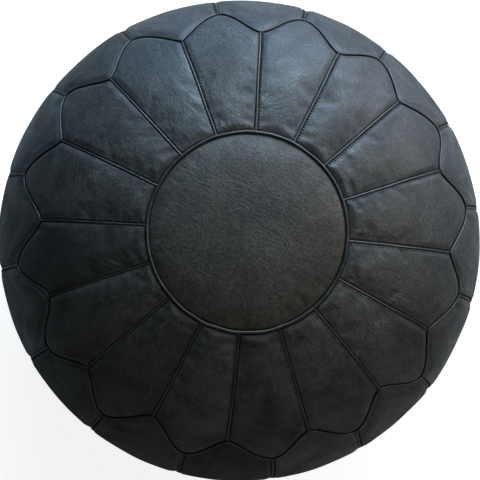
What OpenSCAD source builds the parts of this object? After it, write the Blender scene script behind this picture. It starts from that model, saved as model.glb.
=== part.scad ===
// Round leather pouf: a domed top of petals sewn round a centre disc, a girth of side panels
// that interlock with the petals, and a flat base in two halves joined by a zip.
// The floor is z = 0, the pouf's axis is Z, and the zip runs along X. Millimetres.

/* [Body] */
// Diameter of the leather at its widest
pouf_d = 530; // [440:5:640]
// Height from the floor to the top of the crown
pouf_h = 330; // [270:5:400]
// Height of the widest point, as a share of the height
girth_share = 0.455; // [0.4:0.005:0.5]
// Radius of the shoulder, as a share of the height above the girth
shoulder_share = 0.89; // [0.7:0.01:0.93]
// Radius of the flank below the girth, as a share of the girth's height
flank_share = 1.33; // [1.2:0.01:1.45]
// Radius of the toe that turns onto the floor, as a share of the girth's height
toe_share = 0.46; // [0.3:0.01:0.6]
// Thickness of the leather
leather_t = 1.8; // [1.2:0.1:2.6]

/* [Top] */
// Number of petals, and of side panels
panel_count = 16; // [12:1:16]
// Diameter of the centre disc's seam
disc_d = 203; // [150:1:260]
// Distance in plan from the widest edge to the petals' tips
tip_inset = 26.5; // [18:0.5:36]
// Distance in plan from the widest edge to the corners between petals
corner_inset = 51; // [44:0.5:64]
// Roundness of the petals' tips: 1 is pointed, 2 is a parabola
tip_power = 1.55; // [1:0.05:2.5]
// Angle of the first petal's centre line, anticlockwise from +X
first_petal_angle = 6.8; // [0:0.1:22.5]

/* [Piping] */
// Diameter of the piping round the centre disc
ring_piping_d = 3.2; // [2.4:0.1:5]
// Diameter of the piping between petals and between side panels
seam_piping_d = 2.8; // [2:0.1:4]
// Diameter of the piping along the scalloped seam
scallop_piping_d = 2.2; // [1.6:0.1:3.2]
// Diameter of the piping round the base
base_piping_d = 2.6; // [2:0.1:4]
// Gap between a piping and the leather's edge, or another piping
piping_gap = 0.25; // [0.15:0.05:0.5]
// Distance from the base's seam in to the edge of the flat foot
base_inset = 5; // [4:0.5:10]

/* [Lining and stuffing] */
// Thickness of the cotton lining
lining_t = 0.8; // [0.5:0.1:1.5]
// Gap between leather, lining and stuffing
layer_gap = 0.3; // [0.2:0.1:0.6]

/* [Zip] */
// Length of the leather tab between each end of the zip's slot and the base's edge
end_tab_len = 18; // [12:1:30]
// Width of the slot between the base's two halves
slot_w = 18; // [17:0.5:24]
// How far the tapes run on past each end of the slot
tape_overlap = 8; // [5:1:12]
// Length of each stop
stop_len = 3; // [2:0.5:4]
// Width of each tape
tape_w = 13; // [12:0.5:16]
// Thickness of the tapes
tape_t = 0.8; // [0.5:0.1:1.2]
// Width of the gap between the tapes' inner edges
tape_gap = 4; // [3.8:0.1:5]
// Thickness of the nylon coils
coil_t = 2.2; // [1.8:0.1:2.6]
// Width of each coil outside the mesh
coil_spine_w = 1.9; // [1.5:0.1:2.2]
// Depth over which the two coils mesh
coil_mesh = 2.2; // [1.6:0.1:2.4]
// Distance between turns of a coil
coil_pitch = 3; // [2.8:0.1:4]
// Clearance round the coils, the tapes and the pull
zip_clear = 0.3; // [0.2:0.05:0.4]

/* [Slider and pull] */
// Length of the slider
slider_len = 16; // [15:0.5:20]
// Width of the slider
slider_w = 11; // [10.5:0.5:13]
// Thickness of the slider's two plates
plate_t = 1.3; // [1:0.1:1.6]
// Thickness of the slider's side flanges
flange_t = 0.9; // [0.7:0.1:1.2]
// Width of the bridge that holds the pull
bridge_w = 2.4; // [2:0.1:3]
// Length of the bridge
bridge_len = 9.2; // [8.5:0.1:10]
// Thickness of the bridge's bar and posts
bridge_t = 1.2; // [0.8:0.1:1.5]
// Height of the bridge above the floor
bridge_lift = 0.8; // [0.5:0.1:2]
// Thickness of the pull, which is also its hinge bar's diameter
pull_t = 1.2; // [1:0.1:1.4]
// Length of the pull from its hinge bar to its tip
pull_len = 26; // [20:1:30]
// Width of the pull
pull_w = 8; // [7:0.5:10]
// Width of each arm of the pull
arm_w = 1.4; // [1.1:0.1:1.8]
// Diameter of the eye near the pull's tip
pull_eye_d = 3.2; // [2:0.1:4]

/* [Hidden] */
$fn = 96;

// The outline's four arcs: crown, shoulder, flank and toe. Where the crown meets the shoulder and the
// toe meets the flank and the floor, they cross by arc_lap, so that each crossing is a clean one.
arc_lap = 0.05;
pouf_r = pouf_d / 2;
girth_h = round(girth_share * pouf_h);
crown_rise = pouf_h - girth_h;
shoulder_r = round(shoulder_share * crown_rise);
shoulder_x = pouf_r - shoulder_r;
crown_reach = shoulder_r - arc_lap;
crown_r = (pow(shoulder_x, 2) + pow(crown_rise, 2) - pow(crown_reach, 2)) / (2 * (crown_rise - crown_reach));
crown_z = pouf_h - crown_r;
crown_angle = atan2(shoulder_x, girth_h - crown_z);
crown_edge = crown_r * sin(crown_angle);
flank_r = round(flank_share * girth_h);
flank_x = pouf_r - flank_r;
toe_r = round(toe_share * girth_h);
foot_r = flank_x + sqrt(pow(flank_r - toe_r, 2) - pow(girth_h - toe_r, 2));
toe_angle = atan2(girth_h - toe_r, foot_r - flank_x);

// Seams in plan
step = 360 / panel_count;
half_step = step / 2;
disc_r = disc_d / 2;
tip_r = pouf_r - tip_inset;
corner_r = pouf_r - corner_inset;
base_r = foot_r - base_inset;
lobe_steps = 6;
piping_sides = 6;

// Setback of the leather's edge from the middle of each seam
ring_setback = ring_piping_d / 2 + piping_gap;
seam_setback = seam_piping_d / 2 + piping_gap;
scallop_setback = scallop_piping_d / 2 + piping_gap;
base_setback = base_piping_d / 2 + piping_gap;
// How far each piping's middle lies under the leather's face
piping_sink = 0.3;
// The bead that joins two arcs of one piping, and how far short of its middle each arc stops
bead_d = seam_piping_d + 0.2;
bead_gap = 0.2;

// Layers: the lining clears the leather and the undersides of the thicker pipings
lining_inset = max(leather_t, base_piping_d, ring_piping_d / 2 + 2 * piping_sink) + layer_gap;
stuffing_inset = lining_inset + lining_t + layer_gap;

// Levels of the zip, from the floor up
bridge_top = bridge_lift + bridge_t;
pull_z = bridge_top + zip_clear + pull_t / 2;
lower_plate_z = pull_z + pull_t / 2 + zip_clear;
coil_z = lower_plate_z + plate_t + zip_clear;
tape_z = coil_z + coil_t;
upper_plate_z = tape_z + tape_t + zip_clear;
channel_z = upper_plate_z + plate_t + zip_clear;

// Places along the zip: with the slider fully open, the pull still lies inside the slot
base_reach = base_r - base_setback;
slot_half = base_reach - end_tab_len;
pull_room = pull_len - slider_len / 2 - stop_len + 2 * zip_clear;
zip_half = slot_half - pull_room;
slider_x = zip_half - slider_len / 2;
tape_half = slot_half + tape_overlap;
tape_outer = tape_gap / 2 + tape_w;
neck_w = tape_gap - 4 * zip_clear;
pull_slot = bridge_len / 2 + bridge_t + zip_clear;
pull_bar_len = bridge_w + 2 * arm_w + 4 * zip_clear;

leather_black = [0.10, 0.105, 0.11];
piping_black = [0.07, 0.072, 0.076];
tape_black = [0.05, 0.05, 0.05];
coil_black = [0.08, 0.08, 0.08];
zip_metal = [0.62, 0.55, 0.40];
cotton_white = [0.85, 0.82, 0.74];
canvas_white = [0.80, 0.77, 0.68];

function two_digits(i) = i < 10 ? str("0", i) : str(i);
petal_names = [for (i = [1 : panel_count]) str("petal_", two_digits(i))];
side_names = [for (i = [1 : panel_count]) str("side_panel_", two_digits(i))];

NODES = concat(
    ["top_disc", "top_ring_piping"], petal_names, ["petal_piping", "scallop_piping"], side_names,
    ["side_piping", "base_ring_piping", "base_half_left", "base_half_right",
     "zip_end_tab_top", "zip_end_tab_bottom",
     "zip_tape_left", "zip_tape_right", "zip_coil_left", "zip_coil_right",
     "zip_top_stops", "zip_bottom_stop", "zip_slider", "zip_pull", "lining", "stuffing"]);
node = "all";

// Height of the leather's face above the girth, at a distance r from the axis
function crown_height(r) = crown_z + sqrt(pow(crown_r, 2) - pow(r, 2));
function shoulder_height(r) = girth_h + sqrt(pow(shoulder_r, 2) - pow(r - shoulder_x, 2));
function top_z(r) = r < crown_edge ? crown_height(r) : min(crown_height(r), shoulder_height(r));

// Distance of the scalloped seam from the axis, at an angle a from a petal's centre line
function scallop_r(a) = tip_r - (tip_r - corner_r) * pow(abs(a) / half_step, tip_power);

// A point of the scalloped seam in plan
function seam_point(a) = scallop_r(a) * [cos(a), sin(a)];

// The same point moved outwards by e, square to the seam
function scallop_point(a, e) = let (
        da = 0.01,
        ahead = seam_point(min(a + da, half_step)),
        behind = seam_point(max(a - da, -half_step)),
        run = (ahead - behind) / norm(ahead - behind))
    seam_point(a) + e * [run.y, -run.x];

// The seam across one petal, from one corner to the other
function lobe(e) = [for (i = [-lobe_steps : lobe_steps]) scallop_point(half_step * i / lobe_steps, e)];

// Half of the body's section above the girth, with its face moved in by t
module upper_section(t) {
    intersection() {
        translate([0, girth_h]) square([pouf_r, crown_rise]);
        translate([0, crown_z]) circle(crown_r - t);
        union() {
            translate([shoulder_x, girth_h]) circle(shoulder_r - t);
            square([crown_edge, pouf_h]);
        }
    }
}

// Half of the body's section below the girth
module lower_section(t) {
    toe_normal = 2 * toe_r * [cos(toe_angle), -sin(toe_angle)];
    intersection() {
        translate([0, t]) square([pouf_r, girth_h - t]);
        translate([flank_x, girth_h]) circle(flank_r - t);
        union() {
            translate([foot_r, toe_r]) circle(toe_r + arc_lap - t);
            polygon([[0, 0], [foot_r, 0], [foot_r, toe_r], [foot_r, toe_r] + toe_normal,
                     [2 * pouf_r, pouf_h], [0, pouf_h]]);
        }
    }
}

module half_section(t) {
    upper_section(t);
    lower_section(t);
}

// The leather's section, kept between two distances from the axis and above or below the girth
module leather_section(r_from, r_to, z_from, z_to) {
    intersection() {
        difference() {
            half_section(0);
            half_section(leather_t);
        }
        translate([r_from, z_from]) square([r_to - r_from, z_to - z_from]);
    }
}

// A wedge in plan, one panel wide, with its sides set back from the seams
module wedge(setback, length) {
    apex = setback / sin(half_step);
    half_w = (length - apex) * tan(half_step);
    polygon([[apex, 0], [length, half_w], [length, -half_w]]);
}

module top_disc() {
    color(leather_black) rotate_extrude() leather_section(0, disc_r - ring_setback, girth_h, pouf_h);
}

// Piping in a ring about the pouf's axis
module ring_of_piping(r, z, d) {
    color(piping_black) rotate_extrude() translate([r, z]) circle(d = d);
}

// One petal, about +X
module petal() {
    color(leather_black) intersection() {
        rotate_extrude(angle = step + 2, start = -half_step - 1)
            leather_section(disc_r + ring_setback, tip_r, girth_h, pouf_h);
        linear_extrude(pouf_h + 1) intersection() {
            wedge(seam_setback, pouf_r);
            polygon(concat([[0, 0]], lobe(-scallop_setback)));
        }
    }
}

// One side panel, about +X, where two petals meet
module side_panel() {
    color(leather_black) intersection() {
        rotate_extrude(angle = step + 2, start = -half_step - 1)
            leather_section(base_r + base_setback, pouf_r, 0, top_z(corner_r));
        translate([0, 0, -1]) linear_extrude(pouf_h) wedge(seam_setback, pouf_r + 10);
        difference() {
            translate([0, 0, -2]) cylinder(r = pouf_r + 12, h = pouf_h);
            for (side = [-1, 1])
                rotate(side * half_step)
                    translate([0, 0, girth_h])
                        linear_extrude(pouf_h) polygon(concat([[0, 0]], lobe(scallop_setback)));
        }
    }
}

// Piping along an arc in the XZ plane, about a centre at (x, z), from angle a0 to a1 above +X.
// The arc stops short at an end that a bead joins to the next arc.
module arc_piping(x, z, r, a0, a1, bead_0 = false, bead_1 = false) {
    short = bead_gap / r * 180 / PI;
    from = a0 + (bead_0 ? short : 0);
    to = a1 - (bead_1 ? short : 0);
    translate([x, 0, z])
        rotate([90, 0, 0])
            rotate_extrude(angle = to - from, start = from)
                translate([r, 0]) circle(d = seam_piping_d);
}

// A bead at (x, z), its poles turned to where the piping runs, a degrees from +Z towards +X
module bead(x, z, a) {
    translate([x, 0, z]) rotate([0, a, 0]) sphere(d = bead_d);
}

// Piping between two petals, along +X, from the centre ring out to the scalloped seam
module petal_piping() {
    inner = disc_r + ring_piping_d / 2 + piping_gap;
    outer = corner_r - scallop_setback - seam_piping_d / 2;
    join = 90 - crown_angle;
    crown_run = crown_r - piping_sink;
    color(piping_black) {
        arc_piping(0, crown_z, crown_run, join, acos(inner / crown_r), bead_0 = true);
        bead(crown_run * cos(join), crown_z + crown_run * sin(join), 90 + crown_angle);
        arc_piping(shoulder_x, girth_h, shoulder_r - piping_sink,
                   acos((outer - shoulder_x) / shoulder_r), join, bead_1 = true);
    }
}

// Piping between two side panels, along +X, from a petal's tip down to the foot. Below the girth its
// middle eases in from the leather's face, until at the toe the piping is flush with it.
module side_piping() {
    outer = tip_r + scallop_setback + seam_piping_d / 2;
    toe_run = toe_r - seam_piping_d / 2;
    girth_x = pouf_r - piping_sink;
    toe_x = foot_r + toe_run * cos(toe_angle);
    drop = girth_h - toe_r + toe_run * sin(toe_angle);
    flank_run = (pow(girth_x - toe_x, 2) + pow(drop, 2)) / (2 * (girth_x - toe_x));
    color(piping_black) {
        arc_piping(shoulder_x, girth_h, shoulder_r - piping_sink,
                   0, acos((outer - shoulder_x) / shoulder_r), bead_0 = true);
        bead(girth_x, girth_h, 0);
        arc_piping(girth_x - flank_run, girth_h, flank_run,
                   -asin(drop / flank_run), 0, bead_0 = true, bead_1 = true);
        bead(toe_x, girth_h - drop, toe_angle);
        arc_piping(foot_r, toe_r, toe_run, -90, -toe_angle, bead_1 = true);
    }
}

// Piping along the scalloped seam, swept round the pouf as one closed tube
module scallop_piping() {
    per_petal = 2 * lobe_steps;
    rings = panel_count * per_petal;
    spine = [for (i = [0 : rings - 1]) let (
            petal_i = floor(i / per_petal),
            a = half_step * ((i - petal_i * per_petal) / lobe_steps - 1),
            turn = petal_i * step,
            r = scallop_r(a))
        [r * cos(a + turn), r * sin(a + turn), top_z(r)]];
    points = [for (i = [0 : rings - 1]) let (
            ahead = spine[(i + 1) % rings],
            behind = spine[(i + rings - 1) % rings],
            run = (ahead - behind) / norm(ahead - behind),
            out = [spine[i].x - shoulder_x * spine[i].x / norm([spine[i].x, spine[i].y]),
                   spine[i].y - shoulder_x * spine[i].y / norm([spine[i].x, spine[i].y]),
                   spine[i].z - girth_h] / shoulder_r,
            across = cross(run, out) / norm(cross(run, out)),
            up = cross(across, run))
        for (k = [0 : piping_sides - 1]) let (t = 360 * k / piping_sides)
            spine[i] - piping_sink * up + scallop_piping_d / 2 * (cos(t) * across + sin(t) * up)];
    faces = [for (i = [0 : rings - 1]) for (k = [0 : piping_sides - 1]) let (
            j = (i + 1) % rings,
            l = (k + 1) % piping_sides)
        [i * piping_sides + k, i * piping_sides + l, j * piping_sides + l, j * piping_sides + k]];
    color(piping_black) polyhedron(points, faces);
}

// Half of the base: a half-moon on the floor, with a lip that turns up beside the zip
module base_half() {
    color(leather_black) intersection() {
        cylinder(r = base_reach, h = tape_z);
        union() {
            translate([-base_reach, slot_w / 2, 0]) cube([2 * base_reach, base_reach, leather_t]);
            translate([-tape_half, slot_w / 2, 0]) cube([2 * tape_half, leather_t, tape_z]);
        }
    }
}

// The tab that closes the slot past the zip's +X end, with its own lip under the tapes
module zip_end_tab() {
    tab_w = slot_w - 2 * piping_gap;
    color(leather_black) intersection() {
        cylinder(r = base_reach, h = tape_z);
        union() {
            translate([slot_half, -tab_w / 2, 0]) cube([end_tab_len, tab_w, leather_t]);
            translate([slot_half, -tab_w / 2, 0]) cube([leather_t, tab_w, tape_z]);
        }
    }
}

module zip_tape() {
    color(tape_black) translate([-tape_half, tape_gap / 2, tape_z]) cube([2 * tape_half, tape_w, tape_t]);
}

// One nylon coil as a comb: its spine lies under its tape, and its turns reach across the middle
module zip_coil(shift) {
    start = -zip_half + stop_len;
    turns = floor((slider_x - start - coil_pitch) / coil_pitch);
    turn_w = coil_pitch / 2 - 2 * zip_clear;
    reach = coil_mesh / 2;
    color(coil_black) translate([start, 0, coil_z]) linear_extrude(coil_t) {
        translate([0, reach + zip_clear]) square([turns * coil_pitch, coil_spine_w]);
        for (i = [0 : turns - 1])
            translate([(i + 0.25) * coil_pitch + shift - turn_w / 2, -reach])
                square([turn_w, 2 * reach + 2 * zip_clear]);
    }
}

// A stop crimped on under the tapes, centred on x
module zip_stop(x, y_from, y_to) {
    color(zip_metal) translate([x - stop_len / 2, y_from, coil_z])
        cube([stop_len, y_to - y_from, coil_t]);
}

module zip_top_stops() {
    for (side = [0, 1])
        mirror([0, side, 0])
            zip_stop(zip_half + zip_clear + stop_len / 2, tape_gap / 2, tape_gap / 2 + coil_spine_w);
}

module zip_bottom_stop() {
    grip = tape_gap / 2 + coil_spine_w / 2;
    zip_stop(-zip_half + stop_len / 2, -grip, grip);
}

// A rounded plate in plan
module rounded_plate(length, width, r) {
    square([length - 2 * r, width], center = true);
    square([length, width - 2 * r], center = true);
    for (x = [-1, 1]) for (y = [-1, 1])
        translate([x * (length / 2 - r), y * (width / 2 - r)]) circle(r);
}

module zip_slider() {
    plate_r = 3;
    flange_h = tape_z - zip_clear - lower_plate_z;
    flange_y = (slider_w - flange_t) / 2;
    flange_len = slider_len - 2 * plate_r;
    post_x = (bridge_len - bridge_t) / 2;
    neck_tip = slider_len / 4;
    neck_end = slider_len / 2 - 1;
    color(zip_metal) translate([slider_x, 0, 0]) {
        for (z = [lower_plate_z, upper_plate_z])
            translate([0, 0, z]) linear_extrude(plate_t) rounded_plate(slider_len, slider_w, plate_r);
        for (side = [-1, 1])
            translate([-flange_len / 2, side * flange_y - flange_t / 2, lower_plate_z])
                cube([flange_len, flange_t, flange_h]);
        translate([0, 0, lower_plate_z])
            linear_extrude(upper_plate_z + plate_t - lower_plate_z)
                polygon([[neck_tip, 0], [neck_end, neck_w / 2], [neck_end, -neck_w / 2]]);
        translate([-bridge_len / 2, -bridge_w / 2, bridge_lift]) cube([bridge_len, bridge_w, bridge_t]);
        for (side = [-1, 1])
            translate([side * post_x - bridge_t / 2, -bridge_w / 2, bridge_lift])
                cube([bridge_t, bridge_w, lower_plate_z + plate_t / 2 - bridge_lift]);
    }
}

// The pull lies flat, towards -X, and turns about its hinge bar inside the slider's bridge
module zip_pull() {
    arm_y = (pull_bar_len - arm_w) / 2;
    arm_root = 1;
    eye_x = pull_w / 2 - pull_len;
    color(zip_metal) translate([slider_x, 0, pull_z]) {
        rotate([90, 0, 0]) cylinder(d = pull_t, h = pull_bar_len, center = true);
        for (side = [-1, 1])
            translate([-pull_slot - arm_root, side * arm_y - arm_w / 2, -pull_t / 2])
                cube([pull_slot + arm_root, arm_w, pull_t]);
        translate([0, 0, -pull_t / 2]) linear_extrude(pull_t) difference() {
            union() {
                translate([eye_x, -pull_w / 2]) square([-pull_slot - eye_x, pull_w]);
                translate([eye_x, 0]) circle(d = pull_w);
            }
            translate([eye_x, 0]) circle(d = pull_eye_d);
        }
    }
}

// Room inside the pouf for the zip's tapes and slider
module zip_channel() {
    half_len = tape_half + layer_gap;
    half_w = tape_outer + layer_gap;
    translate([-half_len, -half_w, 0]) cube([2 * half_len, 2 * half_w, channel_z]);
}

module lining() {
    color(canvas_white) difference() {
        rotate_extrude() difference() {
            half_section(lining_inset);
            half_section(lining_inset + lining_t);
        }
        zip_channel();
    }
}

module stuffing() {
    color(cotton_white) difference() {
        rotate_extrude() half_section(stuffing_inset);
        zip_channel();
    }
}

function shown(name) = node == "all" || node == name;

if (shown("top_disc")) top_disc();
if (shown("top_ring_piping")) ring_of_piping(disc_r, top_z(disc_r) - piping_sink, ring_piping_d);
for (i = [0 : panel_count - 1]) {
    if (shown(petal_names[i])) rotate(first_petal_angle + i * step) petal();
    if (shown(side_names[i])) rotate(first_petal_angle + (i + 0.5) * step) side_panel();
    if (shown("petal_piping")) rotate(first_petal_angle + (i + 0.5) * step) petal_piping();
    if (shown("side_piping")) rotate(first_petal_angle + i * step) side_piping();
}
if (shown("scallop_piping")) rotate(first_petal_angle) scallop_piping();
if (shown("base_ring_piping")) ring_of_piping(base_r, base_piping_d / 2, base_piping_d);
if (shown("base_half_left")) base_half();
if (shown("base_half_right")) mirror([0, 1, 0]) base_half();
if (shown("zip_end_tab_top")) zip_end_tab();
if (shown("zip_end_tab_bottom")) mirror([1, 0, 0]) zip_end_tab();
if (shown("zip_tape_left")) zip_tape();
if (shown("zip_tape_right")) mirror([0, 1, 0]) zip_tape();
if (shown("zip_coil_left")) zip_coil(0);
if (shown("zip_coil_right")) mirror([0, 1, 0]) zip_coil(coil_pitch / 2);
if (shown("zip_top_stops")) zip_top_stops();
if (shown("zip_bottom_stop")) zip_bottom_stop();
if (shown("zip_slider")) zip_slider();
if (shown("zip_pull")) zip_pull();
if (shown("lining")) lining();
if (shown("stuffing")) stuffing();
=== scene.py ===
import math

import bmesh
import bpy
import numpy as np
from mathutils import Matrix, Vector
from mathutils.bvhtree import BVHTree


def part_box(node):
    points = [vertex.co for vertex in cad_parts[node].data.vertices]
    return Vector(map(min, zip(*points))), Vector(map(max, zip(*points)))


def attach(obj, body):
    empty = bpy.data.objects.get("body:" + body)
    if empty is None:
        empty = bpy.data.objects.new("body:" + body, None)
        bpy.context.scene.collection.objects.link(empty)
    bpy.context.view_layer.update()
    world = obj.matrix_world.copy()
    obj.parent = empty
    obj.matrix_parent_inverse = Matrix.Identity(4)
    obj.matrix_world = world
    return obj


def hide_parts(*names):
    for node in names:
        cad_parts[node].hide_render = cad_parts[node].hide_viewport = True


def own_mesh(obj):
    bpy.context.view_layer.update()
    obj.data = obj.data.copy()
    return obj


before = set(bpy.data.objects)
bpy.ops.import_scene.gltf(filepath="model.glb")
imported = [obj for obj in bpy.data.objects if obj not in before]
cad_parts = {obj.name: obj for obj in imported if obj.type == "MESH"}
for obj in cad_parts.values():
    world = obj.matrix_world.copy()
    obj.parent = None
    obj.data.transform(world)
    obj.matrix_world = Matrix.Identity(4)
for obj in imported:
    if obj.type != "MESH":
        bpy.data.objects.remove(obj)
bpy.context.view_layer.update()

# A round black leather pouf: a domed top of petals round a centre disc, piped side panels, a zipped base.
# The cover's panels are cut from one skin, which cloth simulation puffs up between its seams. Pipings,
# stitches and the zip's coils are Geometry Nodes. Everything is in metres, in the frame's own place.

# ---------------------------------------------------------------------------------------------
# Sizes, in metres
# ---------------------------------------------------------------------------------------------
POUF_R = 0.265
POUF_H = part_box("top_disc")[1].z
GIRTH_H = 0.150
SHOULDER_R = 0.160
FLANK_R = 0.200
TOE_R = 0.069
PANELS = 16
FIRST_ANGLE = math.radians(6.8)
HALF_STEP = math.pi / PANELS

RING_PIPING_R = 0.0016
SEAM_PIPING_R = 0.00115
SCALLOP_PIPING_R = 0.0010
BASE_PIPING_R = 0.0013
PIPING_GAP = 0.00025
DISC_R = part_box("top_ring_piping")[1].x - RING_PIPING_R
BASE_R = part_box("base_ring_piping")[1].x - BASE_PIPING_R
TIP_R = POUF_R - 0.0265
CORNER_R = POUF_R - 0.051
LEATHER_T = 0.0015

# the lowest point of the side pipings, at the toe, where the floor lies
FLOOR_Z = -0.0004

# seeds: of the uneven handwork, and of how the petals', the sides' and the ring's seams wander
SEED = 41
PETAL_WANDER = 200
SIDE_WANDER = 240
RING_WANDER = 300


# ---------------------------------------------------------------------------------------------
# Stage: camera, lights and floor
# ---------------------------------------------------------------------------------------------
def make_camera():
    data = bpy.data.cameras.new("camera")
    data.lens = 121.5
    data.sensor_width = 36.0
    data.clip_start = 0.05
    camera = bpy.data.objects.new("camera", data)
    bpy.context.collection.objects.link(camera)
    aim = Vector((0.0, 0.0, GIRTH_H))
    camera.location = aim + Vector((-0.084, -0.088, 1.800))
    # looking down, with +Y up the frame
    back = (camera.location - aim).normalized()
    right = Vector((0.0, 1.0, 0.0)).cross(back).normalized()
    up = back.cross(right)
    camera.rotation_euler = Matrix((right, up, back)).transposed().to_euler()
    bpy.context.scene.camera = camera


def make_light(name, turn, rise, distance, size, watts, colour):
    """A soft box turned round the pouf from +X, raised above the horizon, and aimed at the pouf."""
    data = bpy.data.lights.new(name, "AREA")
    data.shape = "RECTANGLE"
    data.size, data.size_y = size
    data.energy = watts
    data.color = colour
    light = bpy.data.objects.new(name, data)
    bpy.context.collection.objects.link(light)
    turn, rise = math.radians(turn), math.radians(rise)
    flat = math.cos(rise)
    away = Vector((flat * math.cos(turn), flat * math.sin(turn), math.sin(rise)))
    light.location = Vector((0.0, 0.0, 0.2)) + distance * away
    light.rotation_euler = (-away).to_track_quat("-Z", "Y").to_euler()


def make_stage():
    large, small = (1.1, 0.8), (1.2, 1.2)
    make_light("window_high", 90, 40, 2.0, large, 19.0, (0.76, 0.99, 1.03))
    make_light("window_low", 66, 15, 2.0, large, 21.0, (0.85, 1.0, 1.27))
    make_light("sky_low", 90, 15, 2.0, large, 5.5, (0.25, 1.25, 2.3))
    make_light("sheen", 77, 20, 2.0, (0.5, 0.5), 9.0, (0.70, 0.95, 1.35))
    make_light("room_high", 15, 40, 2.0, large, 8.6, (1.15, 1.04, 0.82))
    make_light("room_low", 38, 15, 2.0, large, 10.5, (1.0, 1.0, 0.97))
    make_light("near_low", 262, 15, 2.0, large, 2.6, (0.95, 1.0, 0.95))
    make_light("near_right_low", 305, 15, 2.0, large, 1.6, (1.0, 1.0, 0.92))
    make_light("left_low", 200, 14, 2.0, large, 0.7, (0.80, 1.0, 1.15))
    make_light("overhead", 90, 66, 2.4, small, 1.6, (1.3, 1.0, 0.6))
    world = bpy.data.worlds.new("studio")
    world.use_nodes = True
    world.node_tree.nodes["Background"].inputs["Color"].default_value = (0.86, 0.93, 1.0, 1.0)
    world.node_tree.nodes["Background"].inputs["Strength"].default_value = 0.012
    bpy.context.scene.world = world
    bpy.context.scene.view_settings.view_transform = "Standard"
    mesh = bpy.data.meshes.new("floor")
    half = 6.0
    corners = [(-half, -half, FLOOR_Z), (half, -half, FLOOR_Z), (half, half, FLOOR_Z), (-half, half, FLOOR_Z)]
    mesh.from_pydata(corners, [], [(0, 1, 2, 3)])
    floor = bpy.data.objects.new("floor", mesh)
    bpy.context.collection.objects.link(floor)
    # a matt paint, lit from within only as far as the camera sees it, so that it looks near white
    paint = bpy.data.materials.new("floor_paint")
    paint.use_nodes = True
    nodes, links = paint.node_tree.nodes, paint.node_tree.links
    shader = nodes["Principled BSDF"]
    shader.inputs["Base Color"].default_value = (0.42, 0.42, 0.42, 1.0)
    shader.inputs["Roughness"].default_value = 0.85
    shader.inputs["Specular IOR Level"].default_value = 0.1
    seen = nodes.new("ShaderNodeLightPath")
    glow = nodes.new("ShaderNodeMath")
    glow.operation = "MULTIPLY"
    glow.inputs[1].default_value = 0.86
    shader.inputs["Emission Color"].default_value = (1.0, 1.0, 1.0, 1.0)
    links.new(seen.outputs["Is Camera Ray"], glow.inputs[0])
    links.new(glow.outputs[0], shader.inputs["Emission Strength"])
    floor.data.materials.append(paint)


# ---------------------------------------------------------------------------------------------
# Soft noise, the same on every run
# ---------------------------------------------------------------------------------------------
def lattice_hash(x, y, z, seed):
    n = (x * 374761393 + y * 668265263 + z * 1274126177 + seed * 144665647) & 0xFFFFFFFF
    n = ((n ^ (n >> 13)) * 1274126177) & 0xFFFFFFFF
    return n ^ (n >> 16)


def noise(points, seed):
    """Gradient noise of points in lattice units, about -1 to 1."""
    points = np.asarray(points, float)
    cell = np.floor(points).astype(np.int64)
    part = points - cell
    ease = part ** 3 * (part * (part * 6 - 15) + 10)
    total = np.zeros(points.shape[:-1])
    for dx in (0, 1):
        for dy in (0, 1):
            for dz in (0, 1):
                h = lattice_hash(cell[..., 0] + dx, cell[..., 1] + dy, cell[..., 2] + dz, seed)
                slope = np.stack([(h & 1023) / 511.5 - 1, ((h >> 10) & 1023) / 511.5 - 1,
                                  ((h >> 20) & 1023) / 511.5 - 1], -1)
                corner = np.array([dx, dy, dz])
                weight = np.where(corner == 1, ease, 1 - ease).prod(-1)
                total += weight * (slope * (part - corner)).sum(-1)
    return total * 1.3


def flat_noise(u, v, seed):
    """Noise over two lattice coordinates."""
    return noise(np.stack(np.broadcast_arrays(u, v, 0.37), -1), seed)


def smooth(x):
    x = np.clip(x, 0.0, 1.0)
    return x * x * (3 - 2 * x)


# ---------------------------------------------------------------------------------------------
# The outline: arcs of crown, shoulder, flank and toe, walked from the top's middle
# ---------------------------------------------------------------------------------------------
CROWN_RISE = POUF_H - GIRTH_H
SHOULDER_X = POUF_R - SHOULDER_R
CROWN_R = (SHOULDER_X ** 2 + CROWN_RISE ** 2 - SHOULDER_R ** 2) / (2 * (CROWN_RISE - SHOULDER_R))
CROWN_Z = POUF_H - CROWN_R
CROWN_ANGLE = math.atan2(SHOULDER_X, GIRTH_H - CROWN_Z)
FLANK_X = POUF_R - FLANK_R
FOOT_R = FLANK_X + math.sqrt((FLANK_R - TOE_R) ** 2 - (GIRTH_H - TOE_R) ** 2)
TOE_ANGLE = math.atan2(GIRTH_H - TOE_R, FOOT_R - FLANK_X)
# centre r, centre z, radius, and the angles from straight up at which the arc starts and ends
ARCS = [
    (0.0, CROWN_Z, CROWN_R, 0.0, CROWN_ANGLE),
    (SHOULDER_X, GIRTH_H, SHOULDER_R, CROWN_ANGLE, math.pi / 2),
    (FLANK_X, GIRTH_H, FLANK_R, math.pi / 2, math.pi / 2 + TOE_ANGLE),
    (FOOT_R, TOE_R, TOE_R, math.pi / 2 + TOE_ANGLE, math.pi),
]
ARC_LENGTHS = [radius * (end - start) for _, _, radius, start, end in ARCS]
ARC_STARTS = np.concatenate([[0.0], np.cumsum(ARC_LENGTHS)])
S_RING = CROWN_R * math.asin(DISC_R / CROWN_R)
S_GIRTH = ARC_STARTS[2]
S_FOOT = ARC_STARTS[4]
S_BASE = S_FOOT + FOOT_R - BASE_R


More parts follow.
